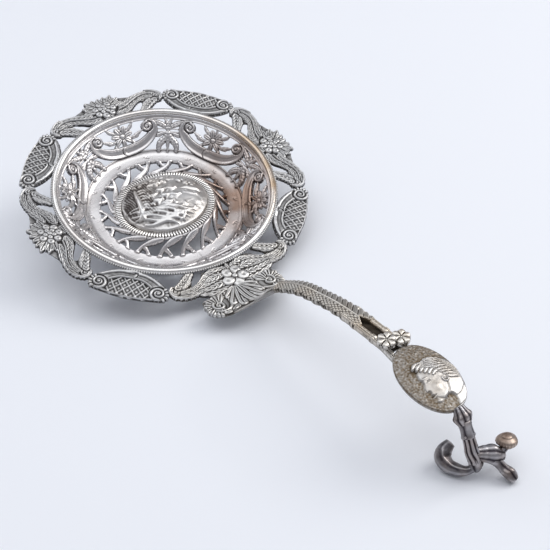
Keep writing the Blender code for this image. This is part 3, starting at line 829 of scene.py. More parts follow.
# reeds
for k in range(9):
    x = -12.2 + 0.62 * k
    boss.stroke(spline([(x + 0.3, 5.6 - 0.15 * k), (x - 0.1, 1.5), (x + 0.35, -2.6), (x + 1.3, -6.6)], 6), [0.10, 0.19, 0.17, 0.08], 0.45,
                'ridge', mask=False, base=0.06, mode='over')
    boss.stroke(spline([(x + 0.62, 5.0), (x + 0.22, 1.0), (x + 0.7, -3.2), (x + 1.6, -6.4)], 6), 0.12, 0.42, 'soft', mask=False, mode='cut')
tuft(-9.6, 6.8, 1.9, 16, 0.50)
tuft(-6.2, 8.6, 2.2, 20, 0.55)
tuft(-1.2, 8.3, 2.8, 30, 0.62)
tuft(3.8, 8.6, 2.4, 22, 0.52)
tuft(7.8, 6.9, 2.1, 18, 0.45)
tuft(-3.4, 5.2, 1.7, 14, 0.60)
# the trunk
boss.stroke(spline([(-9.4, 3.2), (-8.6, 0.6), (-7.4, -2.6), (-6.2, -6.4), (-5.4, -9.2)], 8), [0.38, 0.62, 0.78, 0.80, 0.55], 0.72, 'dome',
            mask=False, base=0.52, mode='over')
boss.stroke(spline([(-8.6, 1.6), (-7.7, -1.6), (-6.6, -5.4)], 8), [0.05, 0.09, 0.05], 0.22, 'soft', mask=False, mode='cut')
for k in range(6):
    boss.stroke(spline([(-8.8 + 0.5 * k, 2.6 - 1.5 * k), (-7.2 + 0.5 * k, 3.2 - 1.5 * k), (-5.6 + 0.45 * k, 2.4 - 1.4 * k)], 6), [0.22, 0.26, 0.10],
                0.42, 'dome', mask=False, base=0.36, mode='max')
tuft(-4.2, -0.2, 1.5, 14, 0.50)
tuft(-3.9, -4.2, 1.4, 12, 0.50)
# the flock
for x, y, a in ((-1.2, 1.9, 0.2), (2.0, 2.6, -0.1), (0.6, -0.7, 0.25), (3.6, -0.4, -0.2), (-1.6, -3.0, 0.1), (1.9, -3.6, 0.3)):
    boss.dome(x, y, 1.45, 0.95, a, 0.80, 'dome', mask=False, base=0.42, mode='over')
    boss.dome(x + 1.5 * math.cos(a), y + 0.55, 0.55, 0.46, a, 0.66, 'dome', mask=False, base=0.50, mode='over')
    for m in range(5):
        boss.dome(x + (rb.random() - 0.5) * 1.7, y + (rb.random() - 0.5) * 1.0, 0.30, 0.26, 0, 0.13, 'dome', mask=False, mode='add')
    for m in (-0.8, 0.7):
        boss.stroke([(x + m, y - 0.7), (x + m + 0.1, y - 1.55)], 0.16, 0.42, 'dome', mask=False, base=0.34, mode='max')
# the cottage
roof = boss.poly([(5.4, 3.0), (6.9, 4.9), (10.3, 4.5), (11.2, 2.7), (8.6, 2.6)], 0)
boss.H = np.where(roof > 0, 0.62 + 0.34 * np.clip(roof / 0.7, 0, 1), boss.H)
wall_ = boss.poly([(5.9, 2.75), (8.5, 2.45), (10.7, 2.55), (10.6, 0.5), (8.3, 0.2), (6.0, 0.7)], 0)
boss.H = np.where(wall_ > 0, 0.50 + 0.20 * np.clip(wall_ / 0.5, 0, 1), boss.H)
for x in (6.9, 9.4):
    boss.dome(x, 1.6, 0.34, 0.46, 0, 0.30, 'slab', mask=False, mode='cut')
boss.stroke([(5.3, 2.85), (8.5, 2.45), (11.3, 2.6)], 0.16, 0.30, 'soft', mask=False, mode='cut')
# broken ground and grasses
for k in range(6):
    y = -5.4 - 1.15 * k
    w = math.sqrt(max(0.0, 12.3 ** 2 - y * y))
    pts = [(x, y + 0.55 * math.sin(0.62 * x + 1.3 * k) + 0.02 * x) for x in np.linspace(-w, w, 11)]
    boss.stroke(spline(pts, 5), [0.20, 0.46, 0.60, 0.46, 0.20], 0.48, 'dome', mask=False, base=0.30, mode='max')
for k in range(34):
    x, y = -8.5 + 18.5 * rb.random(), -4.6 - 6.2 * rb.random()
    if x * x + y * y < 150:
        a = math.radians(90 + 50 * (rb.random() - 0.5))
        boss.petal(x, y, a, 1.3 + 0.7 * rb.random(), 0.50, 0.55, mask=False, base=0.42, mode='over', vein=0.3)
for k in range(9):
    boss.stroke(spline([(4.6 + 0.2 * k, -1.4 - 0.62 * k), (7.4, -1.8 - 0.62 * k), (10.4 - 0.15 * k, -0.9 - 0.66 * k)], 6), [0.06, 0.13, 0.06], 0.14,
                'soft', mask=False, mode='cut')
hatch = np.abs(np.sin(3.6 * boss.U + 2.2 * boss.V + 0.6 * BIG))
# Mask over the boss's left edge and a strip right of the trunk: the hatching is cut there, and the same mask paints
# shade onto that side through the wear value below.
hatch_and_painted_shade = np.exp(-((boss.U + 11.2) / 2.7) ** 2) + 0.85 * np.exp(-((boss.U + 4.9 + 0.25 * boss.V) / 1.5) ** 2) * (np.abs(boss.V) < 8)
hatch_and_painted_shade = np.clip(blur(hatch_and_painted_shade, 4), 0, 1)
boss.H = 0.86 * blur(boss.H, 0.5) - 0.12 * hatch_and_painted_shade * hatch
RIM_ = np.clip((R_BOSS - RR) / 0.5, 0.2, 1)
boss.H = boss.H * RIM_


def boss_surf(u, v):
    r = np.hypot(u, v)
    q = np.clip(r / R_BOSS, 0, 1)
    prof_q = np.array([0, 0.25, 0.52, 0.78, 0.93, 1.0])
    prof_z = np.array([4.15, 4.05, 3.6, 2.45, 1.25, -0.1])
    fine = np.linspace(0, 1, 101)
    zz = np.interp(fine, prof_q, prof_z)
    zz = np.convolve(np.pad(zz, 6, mode='edge'), np.ones(13) / 13, 'valid')
    zz[:7] = zz[7]
    z = np.interp(q, fine, zz)
    dz = np.interp(q, fine, np.gradient(zz, fine)) / R_BOSS
    with np.errstate(invalid='ignore', divide='ignore'):
        c, s = np.where(r > 1e-6, u / r, 0), np.where(r > 1e-6, v / r, 0)
    N = np.stack([-dz * c, -dz * s, np.ones_like(r)], 1)
    N /= np.linalg.norm(N, axis=1)[:, None]
    T = np.array(Matrix.Rotation(math.radians(57), 3, 'Z'))       # the scene stands square to the handle side
    return np.stack([u, v, z], 1) @ T.T, N @ T.T


# The wear value here adds painted shade over the left side and the strip right of the trunk, and painted light on the
# smooth slope at the right, on top of the oxide in the hollows.
boss.build("boss_relief_dome", boss_surf, 0.7, M_SEAT, MAT_BOSS, "boss_silver", "boss_medallion",
           wear=np.clip(boss.wear(0.40, 1.25, 0.14) - hatch_and_painted_shade * (0.30 + 0.16 * hatch) + 0.16 * calm + 0.04 * BIG, 0, 1))

# ================================================================== border
R_B = 40.0
Z_TOP = -0.72


def border_surf(az, bow=0.0, lift=None):
    a0 = math.radians(az)

    def surf(u, v):
        th = a0 + u / R_B
        z = np.full_like(u, Z_TOP)
        if lift is not None:
            z = z + lift(u, v)
        P = np.stack([v * np.cos(th), v * np.sin(th), z], 1)
        N = np.zeros_like(P)
        N[:, 2] = 1
        return P, N
    return surf


def cartouche():
    c = Relief(-11.8, 11.8, 34.5, 46.3, 0.12)
    U, V = c.U, c.V
    outline = [(0, 34.75), (4.2, 35.2), (7.6, 36.7), (10.2, 39.2), (11.25, 41.6), (11.1, 43.8), (9.4, 45.0), (6.6, 44.9), (3.4, 45.0), (0, 45.1)]
    body = c.poly(outline + [(-a, b) for a, b in outline[::-1][1:-1]], 6)
    c.S = np.maximum(c.S, body - 0.12 * np.abs(np.sin(2.6 * U + 1.7 * V)) * (V < 44))
    # the field: a cushion under a diamond lattice of narrow bars, with a small pip in each diamond
    bulge = 0.50 * np.clip(1 - (U / 8.8) ** 2, 0, 1) * np.clip(1 - ((V - 41.6) / 4.2) ** 2, 0, 1)
    p = 2.5
    a = (U * 1.00 + (V - 41) * 0.78) / p
    b = (-U * 1.00 + (V - 41) * 0.78) / p
    la = np.abs(a - np.round(a))
    lb = np.abs(b - np.round(b))
    bar = np.maximum(np.exp(-(la / 0.13) ** 2), np.exp(-(lb / 0.13) ** 2))
    pip = np.exp(-((0.5 - la) ** 2 + (0.5 - lb) ** 2) / 0.030)
    c.H = np.where(body > 0, 0.06 + bulge + 0.36 * bar + 0.16 * pip, 0)
    c.stroke(spline([(-8.6, 44.5), (-4.2, 44.75), (0, 44.85), (4.2, 44.75), (8.6, 44.5)], 10), 0.28, 0.66, 'dome', base=0.12, mode='over', mask=False)
    for sg in (1, -1):
        outer = spline([(0, 35.75), (sg * 3.9, 36.2), (sg * 7.2, 37.8), (sg * 9.6, 40.2), (sg * 10.5, 42.4), (sg * 9.8, 44.0), (sg * 8.2, 44.3)], 12)
        # broad frame: a rolled outer lip, a shallow hollow with cross cuts, then a narrow inner lip
        mid = spline([(0, 36.35), (sg * 3.7, 36.85), (sg * 6.7, 38.4), (sg * 8.7, 40.5), (sg * 9.3, 42.2)], 12)
        c.stroke(mid, [1.75, 1.75, 1.6, 1.35, 1.0], 0.42, 'slab', base=0.16, mode='over', mask=False)
        c.stroke(outer, [0.62, 0.62, 0.60, 0.56, 0.50, 0.44, 0.36], 0.52, 'dome', base=0.46, mode='over', mask=False)
        inner = spline([(0, 37.75), (sg * 3.3, 38.2), (sg * 5.8, 39.7), (sg * 7.2, 41.6), (sg * 7.5, 42.8)], 10)
        c.stroke(inner, [0.34, 0.36, 0.38, 0.42, 0.46], 0.55, 'dome', base=0.44, mode='over', mask=False)
        # end: curls laid side by side, winding into a volute, with feathered tips outside
        c.dome(sg * 8.5, 42.4, 2.75, 2.65, 0, 0.40, 'dome', base=0.14, mode='over', mask=False)
        c.scroll(sg * 8.5, 42.4, 2.35, 1.7, 90, 0.46, 0.50, sign=sg, base=0.46, prof='dome', mask=False, bead=0.55)
        for k in range(5):
            t = math.radians(90 - sg * (30 + 25 * k))
            c.petal(sg * 8.6 + 1.75 * math.cos(t), 42.4 + 1.75 * math.sin(t), t, 1.35, 0.85, 0.45, base=0.30, mode='over', vein=0.4)
    c.leaf([(-2.6, 35.75), (0, 35.5), (2.6, 35.75)], 0.46, 0.22, 6, base=0.95, taper=(0.3, 1.0, 0.3), mask=False, mode='max')
    rnd = np.random.default_rng(5)
    fine = blur(rnd.standard_normal(U.shape), 1.6)
    c.H = np.where(c.S > 0, c.H + 0.022 * fine / fine.std(), c.H)
    c.H *= np.clip(c.S / 0.20, 0.30, 1)
    return c


cart = cartouche()
cw = cart.wear(0.34, 1.25, 0.0)
for i, az in enumerate((45, 135, 225, 315)):
    cart.build("cartouche_lattice_%d" % (i + 1), border_surf(az), 0.48, M_BOWL, MAT_BORDER, "border_silver",
               "border_cartouche_%d" % (i + 1), wear=cw)


def spray(kind):
    c = Relief(-20.6, 20.6, 34.6, 47.4, 0.12)
    D = R_B * math.radians(1)

    def pts_of(lst, sg):
        return [(sg * a * D, r) for a, r in lst]
    for sg in (1, -1):
        # solid ground of the arm, shoulder and leg, with a nibbled edge
        arm = pts_of([(5.0, 35.0), (9.0, 35.2), (12.2, 36.3), (15.0, 38.2), (17.4, 39.7), (18.6, 39.6), (18.2, 38.0), (16.2, 35.2), (18.6, 35.0),
                      (21.6, 35.2), (23.8, 37.2), (26.2, 39.2), (28.0, 39.8), (28.95, 41.4), (28.2, 43.4), (25.4, 44.6), (21.4, 44.9),
                      (17.2, 44.1), (13.6, 43.0), (11.0, 43.2), (5.0, 43.2)], sg)
        s = c.poly(arm, 5)
        nib = 0.20 * np.abs(np.sin(2.5 * c.U - 1.6 * c.V)) * np.clip((np.abs(c.U) - 9.0) / 2, 0, 1)
        c.S = np.maximum(c.S, s - nib)
        c.H = np.where(s > 0, np.maximum(c.H, 0.05), c.H)
        # the arm: two long herringbone leaves side by side under a twisted stalk
        c.leaf(pts_of([(5.5, 36.4), (9.6, 37.0), (13.2, 38.8), (16.6, 40.8), (20.2, 41.9), (23.6, 42.0)], sg), 1.55, 0.66, 9, base=0.14,
               taper=(0.85, 1.0, 1.0, 1.0, 0.85, 0.55), cut=0.85, mask=False, mode='over', slant=2.3)
        c.leaf(pts_of([(8.0, 39.6), (11.4, 40.4), (14.6, 41.8), (18.2, 43.2), (22.0, 43.9), (25.0, 43.7)], sg), 1.45, 0.62, 8, base=0.24,
               taper=(0.8, 1.0, 1.0, 0.9, 0.7, 0.4), cut=0.85, mask=False, mode='over', slant=2.3)
        c.stroke(spline(pts_of([(6.5, 38.0), (10.4, 38.8), (13.8, 40.4), (17.4, 42.2), (21.0, 43.0), (24.0, 42.9)], sg), 10),
                 [0.24, 0.26, 0.24, 0.22, 0.20, 0.14], 0.50, 'dome', base=0.50, mode='over', mask=False)
        c.stroke(spline(pts_of([(8.8, 35.5), (12.0, 36.7), (14.9, 38.6), (17.4, 40.1)], sg), 10), [0.18, 0.26, 0.26, 0.20], 0.55, 'dome',
                 base=0.20, mode='over', mask=False)
        # shoulder: hook and volute
        c.stroke(spline(pts_of([(20.6, 44.5), (24.0, 44.3), (26.8, 43.4), (28.2, 41.7), (27.7, 40.5), (26.4, 40.3)], sg), 10),
                 [0.26, 0.46, 0.62, 0.66, 0.56, 0.42], 0.66, 'dome', base=0.42, mode='over', mask=False)
        c.scroll(sg * 25.7 * D, 41.8, 1.45, 1.5, -90, 0.32, 0.50, sign=sg, base=0.46, prof='dome', mask=False, bead=0.36)
        # the leg: a broad leaf that turns back to the rim, lapped by a smaller one
        c.leaf(pts_of([(25.4, 40.6), (23.4, 39.2), (21.4, 37.4), (19.0, 35.4)], sg), 1.85, 0.66, 5, base=0.14, taper=(0.75, 1.0, 1.0, 0.75),
               cut=0.85, mask=False, mode='over', slant=1.8)
        c.leaf(pts_of([(22.6, 40.6), (20.4, 38.8), (18.6, 37.0), (17.4, 35.6)], sg), 0.95, 0.55, 4, base=0.34, taper=(0.6, 1.0, 0.9, 0.4),
               cut=0.8, mask=False, mode='over', slant=1.6)
    mid = c.poly([(-7.6, 35.3), (-4.0, 34.95), (0, 34.9), (4.0, 34.95), (7.6, 35.3), (8.0, 38.6), (7.0, 41.6), (4.2, 43.0), (0, 43.6), (-4.2, 43.0),
                  (-7.0, 41.6), (-8.0, 38.6)], 5)
    c.S = np.maximum(c.S, mid)
    c.H = np.where(mid > 0, np.maximum(c.H, 0.04), c.H)
    rnd = np.random.default_rng(11)
    if kind == 'spray':
        # calyx of overlapping leaves on the rim side
        for k in range(11):
            a = -80 + 16 * k
            t = math.radians(90 + a)
            c.petal(0.42 * (k - 5), 35.1 + 0.06 * abs(k - 5), t, 3.9, 1.6, 0.55, tip=0.6, base=0.12 + 0.07 * (k % 2), vein=0.55, ribs=3, mode='over')
        # short toothed leaves round the outside
        for k, (a, l, w) in enumerate(((72, 6.6, 1.9), (-72, 6.6, 1.9), (52, 7.1, 2.0), (-52, 7.1, 2.0), (33, 7.3, 2.1), (-33, 7.3, 2.1),
                                       (16, 6.4, 1.9), (-16, 6.4, 1.9), (0, 6.0, 1.9), (61, 6.2, 1.3), (-43, 6.4, 1.3), (43, 6.4, 1.3),
                                       (-61, 6.2, 1.3), (24, 6.0, 1.2), (-24, 6.0, 1.2))):
            t = math.radians(90 - a)
            c.petal(0.5 * math.cos(t), 39.2 + 0.3 * math.sin(t), t, l, w, 0.60, tip=0.58, base=0.16 + 0.06 * (k % 3), vein=0.6, ribs=4, mode='over')
        # round petals packed round the flower
        for k in range(7):
            t = TAU * (k + 0.5) / 7
            x, y = 2.85 * math.cos(t), 39.7 + 2.5 * math.sin(t)
            r = 1.30 + 0.15 * rnd.random()
            c.dome(x, y, r, r * 0.92, t, 0.66, 'dome', base=0.34, mode='over')
            c.dome(x + 0.25 * math.cos(t), y + 0.25 * math.sin(t), r * 0.45, r * 0.40, 0, 0.24, 'soft', mask=False, mode='cut')
        for k in range(5):
            a = TAU * k / 5 + 0.39
            c.dome(1.30 * math.cos(a), 39.8 + 1.20 * math.sin(a), 0.98, 0.86, a, 0.58, 'dome', base=0.58, mode='over')
            c.dome(1.45 * math.cos(a), 39.8 + 1.35 * math.sin(a), 0.42, 0.36, a, 0.18, 'soft', mask=False, mode='cut')
        c.dome(0, 39.8, 0.86, 0.86, 0, 0.58, 'dome', base=0.72, mode='over')
        c.dome(0, 39.8, 0.40, 0.40, 0, 0.20, 'soft', mask=False, mode='cut')
    else:
        # the handle's spray: a five-petalled rose on feathered leaves
        c.S = np.maximum(c.S, c.poly([(-9, 35.6), (0, 34.95), (9, 35.6), (11.6, 42.6), (7.4, 45.0), (0, 45.5), (-7.4, 45.0), (-11.6, 42.6)], 5))
        c.H = np.where(c.S > 0, np.maximum(c.H, 0.04), c.H)
        for sg in (1, -1):
            c.leaf([(sg * 0.8, 37.0), (sg * 3.0, 36.2), (sg * 5.8, 35.9), (sg * 8.6, 36.7)], 1.35, 0.50, 5, base=0.10, mask=False, mode='over', cut=0.8, slant=1.4)
            c.leaf([(sg * 1.4, 43.2), (sg * 4.6, 43.9), (sg * 8.0, 44.1), (sg * 11.4, 43.8)], 1.5, 0.55, 5, base=0.12, taper=(0.8, 1.0, 0.8, 0.3), mode='over', cut=0.8, slant=1.6)
            c.leaf([(sg * 1.6, 41.4), (sg * 4.8, 41.6), (sg * 8.0, 42.2), (sg * 11.6, 42.4)], 1.6, 0.60, 6, base=0.18, taper=(0.8, 1.0, 0.8, 0.3), mode='over', cut=0.8, slant=1.6)
            c.leaf([(sg * 1.4, 39.2), (sg * 4.4, 38.6), (sg * 7.4, 39.0), (sg * 10.0, 40.3)], 1.6, 0.60, 6, base=0.22, mask=False, mode='over', cut=0.8, slant=1.6)
            c.petal(sg * 0.6, 37.9, math.radians(-90 + sg * 34), 2.6, 1.4, 0.5, base=0.26, mode='over', ribs=3, mask=False)
        c.petal(0, 38.0, math.radians(-90), 2.7, 1.5, 0.55, base=0.28, mode='over', ribs=3, mask=False)
        for k in range(5):
            a = TAU * k / 5 + math.radians(90)
            c.dome(2.25 * math.cos(a), 40.9 + 2.25 * math.sin(a), 2.05, 1.75, a, 0.56, 'dome', base=0.56, mode='over')
            c.dome(2.75 * math.cos(a), 40.9 + 2.75 * math.sin(a), 0.95, 1.05, a, 0.14, 'soft', mask=False, mode='cut')
        c.dome(0, 40.9, 0.90, 0.90, 0, 0.62, 'dome', base=0.74, mode='over')
        c.dome(0, 40.9, 0.40, 0.40, 0, 0.20, 'soft', mask=False, mode='cut')
    fine = blur(rnd.standard_normal(c.U.shape), 1.5)
    c.H = np.where(c.S > 0, c.H + 0.022 * fine / fine.std(), c.H)
    c.H *= np.clip(c.S / 0.20, 0.30, 1)
    return c


sp = spray('spray')
sw = sp.wear(0.34, 1.30, 0.0)
for nm, az in (("left", 90), ("far", 180), ("right", 270)):
    sp.build("flower_spray_" + nm, border_surf(az), 0.48, M_BOWL, MAT_BORDER, "border_silver", "border_spray_" + nm, wear=sw)
sh = spray('handle')
sh.build("flower_spray_handle", border_surf(0), 0.48, M_BOWL, MAT_ROOT, "border_silver", "border_spray_handle",
         wear=sh.wear(0.32, 1.9, 0.0))

# ================================================================== handle
def path_surf(pts, skew=None):
    """A surface swept across the handle: u runs along Y, v along the path (x, z)."""
    c = spline([(p[0], p[1]) for p in pts], 16)
    arc = np.concatenate([[0], np.cumsum(np.hypot(*(c[1:] - c[:-1]).T))])
    d = np.gradient(c, axis=0)
    d /= np.hypot(d[:, 0], d[:, 1])[:, None]

    def surf(u, v):
        x, z = np.interp(v, arc, c[:, 0]), np.interp(v, arc, c[:, 1])
        dx, dz = np.interp(v, arc, d[:, 0]), np.interp(v, arc, d[:, 1])
        y = u + (skew(x) if skew is not None else 0)
        P = np.stack([x, y, z], 1)
        N = np.stack([-dz, np.zeros_like(u), dx], 1)
        return P, N
    return surf, float(arc[-1]), c, arc


def half_width(pts, arc, c, v):
    xs = [p[0] for p in pts]
    hw = [p[2] for p in pts]
    vx = np.interp(xs, c[:, 0], arc)
    return np.interp(v, vx, hw)


ROOT = [(45.0, 1.35, 12.4), (47.2, 1.6, 13.2), (49.2, 1.9, 13.3), (51.4, 2.4, 12.8), (53.2, 3.2, 11.2), (54.6, 4.7, 8.2), (55.8, 7.0, 5.1),
        (57.2, 10.3, 3.1), (59.1, 13.0, 2.5)]
SIDE_X = [45.0, 49.2, 51.4, 53.2, 54.6, 55.8, 57.2, 58.9]
SIDE_Y = [-4.6, -4.6, -4.4, -3.9, -3.0, -1.7, -0.4, 0.0]
surf, RL, rc, ra = path_surf(ROOT, lambda x: np.interp(x, SIDE_X, SIDE_Y))
rt = Relief(-14.2, 14.2, -0.3, RL + 0.3, 0.14)
hw = half_width(ROOT, ra, rc, rt.V)
scal = 0.42 * np.abs(np.sin(rt.V * 1.25 + 0.4)) * np.clip((9.0 - rt.V) / 6, 0.2, 1)
rt.S = np.minimum(np.minimum(hw - scal - np.abs(rt.U), rt.V - 0.02), RL - 0.02 - rt.V)
rt.H = np.where(rt.S > 0, 0.02, 0.0)
for sg in (1, -1):
    # the wing: curled feathers that fan round a volute, inside a C-scroll
    wing = rt.poly([(sg * 4.0, 0.4), (sg * 8.0, 0.1), (sg * 12.8, 0.2), (sg * 13.8, 3.2), (sg * 12.6, 6.8), (sg * 9.4, 9.1), (sg * 6.4, 8.8),
                    (sg * 4.4, 5.6)], 6)
    rt.H = np.where(wing > 0, np.maximum(rt.H, 0.10 + 0.30 * np.clip(wing / 2.5, 0, 1)), rt.H)
    rt.leaf([(sg * 2.6, 0.7), (sg * 5.4, 1.4), (sg * 7.4, 3.0)], 1.15, 0.45, 4, base=0.12, mask=False, mode='over', cut=0.8, slant=1.2)
    rt.leaf([(sg * 3.4, 6.8), (sg * 5.6, 7.6), (sg * 8.0, 7.9)], 1.0, 0.45, 4, base=0.12, mask=False, mode='over', cut=0.8, slant=1.2)
    for k in range(8):
        a = math.radians(-128 + 31 * k)
        aa = a if sg > 0 else math.pi - a
        rt.petal(sg * 9.1 + 0.9 * math.cos(aa), 4.3 + 0.8 * math.sin(aa), aa, 4.5, 2.15, 0.62, tip=0.62, mask=False, base=0.18 + 0.05 * (k % 2),
                 vein=0.6, ribs=3, mode='over')
    rt.scroll(sg * 8.9, 4.3, 2.0, 1.4, -60 if sg > 0 else 240, 0.44, 0.62, sign=sg, mask=False, base=0.40, prof='dome')
    rt.stroke(spline([(sg * 4.9, 0.4), (sg * 4.9, 3.0), (sg * 5.6, 5.6), (sg * 7.4, 7.2), (sg * 9.7, 7.2), (sg * 10.9, 5.6)], 10),
              [0.34, 0.42, 0.44, 0.42, 0.38, 0.30], 0.70, 'dome', mask=False, base=0.20, mode='over')
# the palmette: ribbed petals that fan out from under the rose
for a, l, w in ((60, 6.0, 2.5), (-60, 6.0, 2.5), (40, 8.2, 2.9), (-40, 8.2, 2.9), (21, 9.6, 3.1), (-21, 9.6, 3.1), (0, 10.6, 3.3)):
    t = math.radians(90 - a)
    rt.petal(0.4 * math.cos(t), -0.2 + 0.3 * math.sin(t), t, l, w, 0.80, tip=0.64, mask=False, base=0.14, vein=0.5, ribs=5, mode='over')
for sg in (1, -1):
    rt.leaf([(sg * 1.0, 9.2), (sg * 1.7, 11.6), (sg * 1.5, 14.8), (sg * 1.2, RL)], 0.80, 0.65, 7, base=0.12, mask=False,
            taper=(0.3, 1.0, 0.9, 0.8), mode='over')
rt.leaf([(0, 9.6), (0, 12.6), (0, RL)], 0.62, 0.80, 8, base=0.15, mask=False, taper=(0.4, 1.0, 0.9), mode='over')
de = hw - scal - np.abs(rt.U)
rt.H = rt.H - np.where(rt.S > 0, 0.16 * np.exp(-((de - 0.62) / 0.13) ** 2), 0)          # an engraved line inside the edge
rt.H = rt.H * (0.35 + 0.65 * np.clip(de / 0.45, 0, 1))
rt.build("shell_root_palmette", surf, 0.62, M_HANDLE, MAT_ROOT, "handle_silver", "shell_root", wear=rt.wear(0.24, 2.2, 0.0))

STEM = [(58.9, 12.9, 2.5), (62.4, 16.6, 2.65), (65.4, 19.5, 2.7), (68.6, 22.0, 2.7), (72, 24.1, 2.7), (75.6, 26.0, 2.7),
        (79.2, 28.0, 2.7), (82.6, 29.6, 2.75), (85.6, 30.85, 2.85), (88.6, 31.95, 2.95), (92.6, 33.1, 3.0)]
surf, SL, sc, sa = path_surf(STEM)
st = Relief(-3.9, 3.9, -0.2, SL + 0.2, 0.11)
hw = half_width(STEM, sa, sc, st.V)
fth = (st.V + 1.0 * st.U) / 2.15
lob = np.abs(np.sin(math.pi * fth)) ** 0.6
low = np.abs(np.sin(math.pi * (st.V - 0.7 * st.U) / 4.2))
edge_w = hw + np.where(st.U > 0, 0.42 * lob - 0.28, 0.42 * low - 0.30)
fork = 3.0 * np.clip(1 - np.abs(st.U) / 1.25, 0, 1)            # the end is notched where the slot begins
st.S = np.minimum(np.minimum(edge_w - np.abs(st.U), st.V - 0.02), (SL - 0.02 - fork - st.V) * 0.6)
q = np.clip(np.abs(st.U) / np.maximum(edge_w, 0.1), 0, 1)
crown = 1.20 * np.sqrt(np.clip(1 - q ** 2.2, 0, 1))
ridge = 0.22 * np.exp(-((st.U + 0.35) / 0.20) ** 2)
feat = np.clip((st.U + 0.15) / 0.3, 0, 1) * (0.50 * lob - 0.40 - 0.14 * np.exp(-((fth % 1 - 0.62) / 0.06) ** 2) - 0.12 * np.exp(-((fth % 1 - 0.38) / 0.06) ** 2))
pa = (st.V * 0.8 + st.U * 1.5) / 1.30
pb = (st.V * 0.8 - st.U * 1.5) / 1.30
la = np.abs(pa - np.round(pa))
lb = np.abs(pb - np.round(pb))
loz = np.clip((-0.55 - st.U) / 0.3, 0, 1) * (-0.26 * np.maximum(np.exp(-(la / 0.13) ** 2), np.exp(-(lb / 0.13) ** 2)))
st.H = np.where(st.S > 0, crown + ridge + feat + loz, 0)
st.build("stem_feathered", surf, 0.95, M_HANDLE, MAT_HANDLE, "handle_silver", "handle_stem", wear=st.wear(0.24, 1.5, 0.03))

RAIL = [(86.0, 31.0, .85), (90, 32.2, .85), (94.4, 33.4, .85), (99, 34.6, .85), (103, 35.3, .85), (108.6, 35.35, .85)]
surf0, ALn, ac, aa = path_surf(RAIL)
for nm, sg in (("left", 1), ("right", -1)):
    rl = Relief(-1.1, 1.1, -0.1, ALn + 0.1, 0.10)
    wv = 0.86 + 0.03 * np.sin(rl.V * 1.1)
    band = 0.13 * np.exp(-((rl.V - 12.1) / 0.75) ** 6) + 0.10 * np.exp(-((rl.V - 1.0) / 0.6) ** 6)
    rl.S = np.minimum(np.minimum(wv + band - np.abs(rl.U), rl.V - 0.02), ALn - 0.02 - rl.V)
    qq = np.clip(np.abs(rl.U) / (wv + band), 0, 1)
    rl.H = np.where(rl.S > 0, 0.85 * np.sqrt(np.clip(1 - qq ** 2.6, 0, 1)) + 1.6 * band
                    - 0.22 * np.exp(-((rl.U - sg * 0.28) / 0.14) ** 2) - 0.10 * (np.abs(np.sin(rl.V * 2.4)) < 0.15), 0)

    def rail_surf(u, v, sg=sg):
        return surf0(u + sg * 2.05, v)
    rl.build("rail_" + nm, rail_surf, 0.8, M_HANDLE, MAT_HANDLE, "handle_silver", "stem_rail_" + nm, wear=rl.wear(0.2, 1.2, 0.04))


sl = Relief(-1.35, 1.35, -0.1, ALn * 0.80, 0.12)
sl.S = np.minimum(np.minimum(1.30 - np.abs(sl.U), sl.V - 0.02), ALn * 0.80 - 0.12 - sl.V)
sl.H = np.where(sl.S > 0, 0.08 * np.sin(sl.V * 2.2) * np.cos(sl.U * 2.0), 0)


def slot_surf(u, v):
    P, N = surf0(u, v)
    return P - N * 0.35, N


# The slot floor is coloured uniformly dark, near the darkest end of the silver's ramp.
sl.build("slot_web_recess", slot_surf, 0.55, M_HANDLE, MAT_HANDLE, "handle_silver", "slot_web", wear=np.full(sl.S.shape, 0.10))


def disc_surf(c, tilt_y, dome=0.0, rx=1.0, ry=1.0):
    """A plane (or shallow dome) centred at c and turned about Y."""
    R = np.array(Matrix.Rotation(math.radians(tilt_y), 3, 'Y'))

    def surf(u, v):
        z = -dome * ((u / rx) ** 2 + (v / ry) ** 2)
        P = np.stack([u, v, z], 1) @ R.T + np.array(c)
        N = np.stack([2 * dome * u / rx ** 2, 2 * dome * v / ry ** 2, np.ones_like(u)], 1)
        N /= np.linalg.norm(N, axis=1)[:, None]
        return P, N @ R.T
    return surf


for nm, sg in (("left", 1), ("right", -1)):
    ro = Relief(-2.8, 2.8, -2.8, 2.8, 0.08)
    r = np.hypot(ro.U, ro.V)
    ro.S = 2.42 - r + 0.05 * np.cos(6 * np.arctan2(ro.V, ro.U) - 6 * 0.26)
    ro.H = np.where(ro.S > 0, 0.10 + 0.0 * r, 0)
    for k in range(6):
        a = TAU * k / 6 + 0.26
        ro.petal(0.05 * math.cos(a), 0.05 * math.sin(a), a, 2.42, 2.05, 0.62, tip=0.66, mask=False, base=0.16, vein=0.0, mode='max')
    for k in range(6):
        a = TAU * (k + 0.5) / 6 + 0.26
        ro.stroke([(0.25 * math.cos(a), 0.25 * math.sin(a)), (1.2 * math.cos(a), 1.2 * math.sin(a)), (2.3 * math.cos(a), 2.3 * math.sin(a))],
                  [0.12, 0.24, 0.14], 0.50, 'soft', mask=False, mode='cut')
    ro.dome(0, 0, 0.30, 0.30, 0, 0.26, 'dome', mask=False, base=0.22, mode='over')
    ro.build("rosette_petals_" + nm, disc_surf((102.4 + 0.5 * sg, sg * 2.0, 38.05 - 0.25 * sg), -8.0), 0.72, M_HANDLE, MAT_HANDLE, "handle_silver",
             "rosette_" + nm, wear=ro.wear(0.22, 2.2, 0.12))

